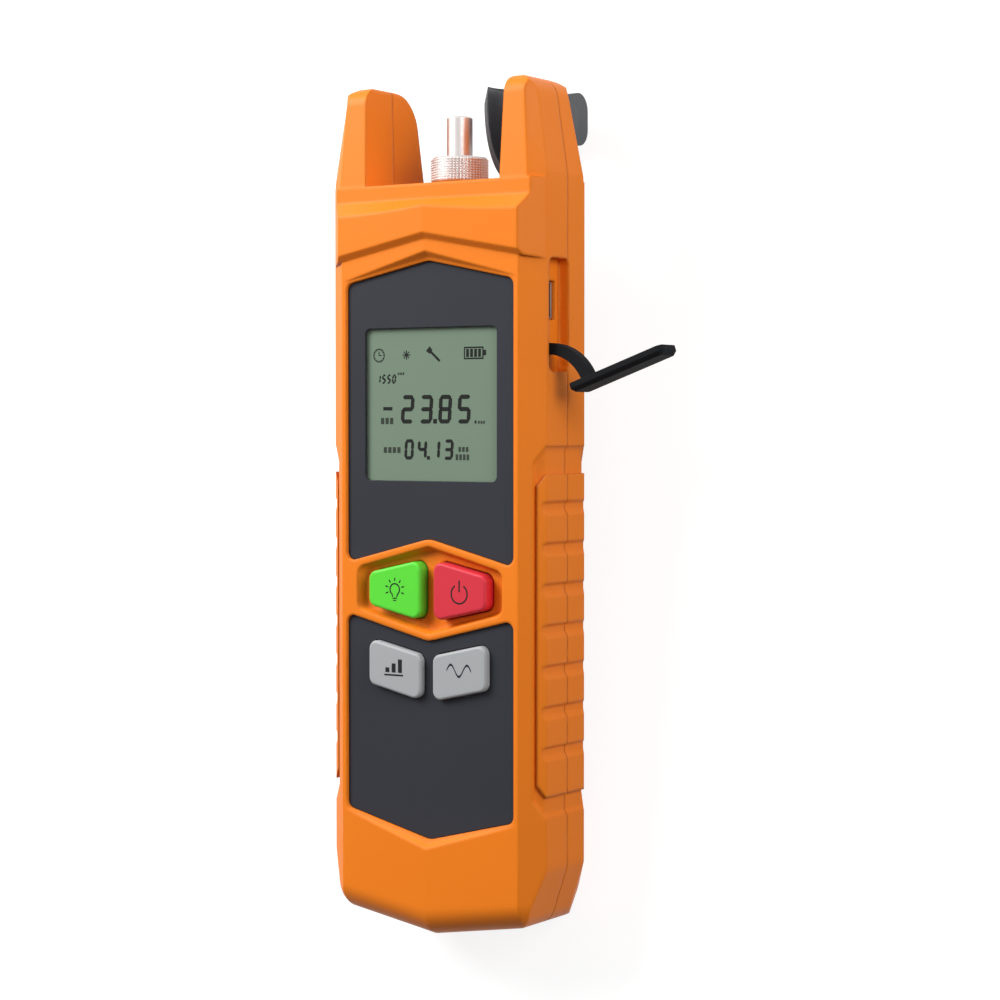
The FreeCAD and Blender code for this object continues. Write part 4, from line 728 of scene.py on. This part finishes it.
@dataclass
class Studio:
    """Camera, soft lamps, pale floor and world."""

    axes: MeterAxes
    turn: float = math.radians(32.984)
    pitch: float = math.radians(1.694)
    eye: tuple[float, float, float] = (285.4, 105.1, 436.2)
    middle: tuple[float, float, float] = (0.0, 95.0, 12.0)
    lens: float = 87.777
    sensor: float = 36.0
    nearest: float = 0.01
    floor_size: float = 6.0
    floor_glow: float = 0.85
    world_level: float = 0.14

    def build(self) -> None:
        """Set the whole studio up."""
        self.camera()
        self.lamps()
        self.floor()
        self.world()

    def camera(self) -> None:
        """Camera in front of the meter, to its right and a little above its middle."""
        forward = self.axes.direction(-math.sin(self.turn) * math.cos(self.pitch), -math.sin(self.pitch),
                                      -math.cos(self.turn) * math.cos(self.pitch))
        up = self.axes.direction(-math.sin(self.turn) * math.sin(self.pitch), math.cos(self.pitch),
                                 -math.cos(self.turn) * math.sin(self.pitch))
        right = forward.cross(up)
        data = bpy.data.cameras.new("camera")
        data.lens = self.lens
        data.sensor_width = self.sensor
        data.clip_start = self.nearest
        camera = bpy.data.objects.new("camera", data)
        bpy.context.scene.collection.objects.link(camera)
        turn = Matrix((right, up, -forward)).transposed().to_4x4()
        camera.matrix_world = Matrix.Translation(self.axes.point(*self.eye)) @ turn
        bpy.context.scene.camera = camera

    def lamp(self, name: str, at: tuple[float, float, float], size: float, power: float) -> None:
        """One soft, square, white lamp that faces the meter's middle.

        Args:
            name: The lamp's name.
            at: Its place in millimetres on the meter's own axes.
            size: Its side in millimetres.
            power: Its power in watts.
        """
        data = bpy.data.lights.new(name, "AREA")
        data.size = size * MM
        data.energy = power
        lamp = bpy.data.objects.new(name, data)
        bpy.context.scene.collection.objects.link(lamp)
        place = self.axes.point(*at)
        aim = self.axes.point(*self.middle) - place
        lamp.matrix_world = Matrix.Translation(place) @ aim.to_track_quat("-Z", "Y").to_matrix().to_4x4()

    def lamps(self) -> None:
        """Key lamp past the horns on the meter's left, a weaker one on its right and a faint one ahead."""
        self.lamp("key_lamp", (-430, 500, 430), 400, 7.2)
        self.lamp("fill_lamp", (650, 360, 250), 420, 3.4)
        self.lamp("head_lamp", (60, 720, 330), 400, 0.8)

    @staticmethod
    def seen(tree: bpy.types.NodeTree) -> bpy.types.Node:
        """1 for what the camera sees, also in metal and through glass, and 0 for what only lights the meter."""
        path = add_node(tree, "ShaderNodeLightPath")
        plain = add_node(tree, "ShaderNodeMath", {"operation": "MAXIMUM"}, i0=path.outputs["Is Camera Ray"],
                         i1=path.outputs["Is Glossy Ray"])
        return add_node(tree, "ShaderNodeMath", {"operation": "MAXIMUM"}, i0=plain.outputs[0],
                        i1=path.outputs["Is Transmission Ray"])

    def floor(self) -> None:
        """Pale floor that shows as white and keeps the meter's shadow."""
        Workbench.clear()
        bpy.ops.mesh.primitive_plane_add(size=self.floor_size, location=(0, 0, 0))
        floor = Workbench.adopt("floor")
        material = bpy.data.materials.new("pale_floor")
        material.use_nodes = True
        tree = material.node_tree
        tree.nodes.clear()
        diffuse = add_node(tree, "ShaderNodeBsdfDiffuse", None, Color=linear("#969696"))
        glow = add_node(tree, "ShaderNodeEmission", None, Color=linear("#FFFFFF"), Strength=self.floor_glow)
        both = add_node(tree, "ShaderNodeAddShader", None, i0=diffuse.outputs[0], i1=glow.outputs[0])
        seen = self.seen(tree)
        mixed = add_node(tree, "ShaderNodeMixShader", None, i0=seen.outputs[0], i1=diffuse.outputs[0],
                         i2=both.outputs[0])
        add_node(tree, "ShaderNodeOutputMaterial", None, Surface=mixed.outputs[0])
        floor.data.materials.append(material)

    def world(self) -> None:
        """White surroundings that light the meter softly from all sides."""
        world = bpy.data.worlds.new("studio")
        world.use_nodes = True
        tree = world.node_tree
        tree.nodes.clear()
        seen = self.seen(tree)
        level = add_node(tree, "ShaderNodeMapRange", None, Value=seen.outputs[0], To_Min=self.world_level,
                         To_Max=1.0)
        shade = add_node(tree, "ShaderNodeBackground", None, Color=linear("#FFFFFF"), Strength=level.outputs[0])
        add_node(tree, "ShaderNodeOutputWorld", None, Surface=shade.outputs[0])
        bpy.context.scene.world = world


def main() -> None:
    """Build the sub-assemblies in order, then the studio."""
    logging.basicConfig(level=logging.INFO, format="%(message)s")
    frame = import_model()
    scene = bpy.context.scene
    scene.view_settings.view_transform = "Standard"
    axes = MeterAxes(frame["record"])
    for kind in (Housing, Display, Keypad, Adapter, ChargingPort, DustCover):
        kind(frame["nodes"], axes).build()
        log.info("built %s", kind.__name__)
    Studio(axes).build()


if __name__ == "__main__":
    main()
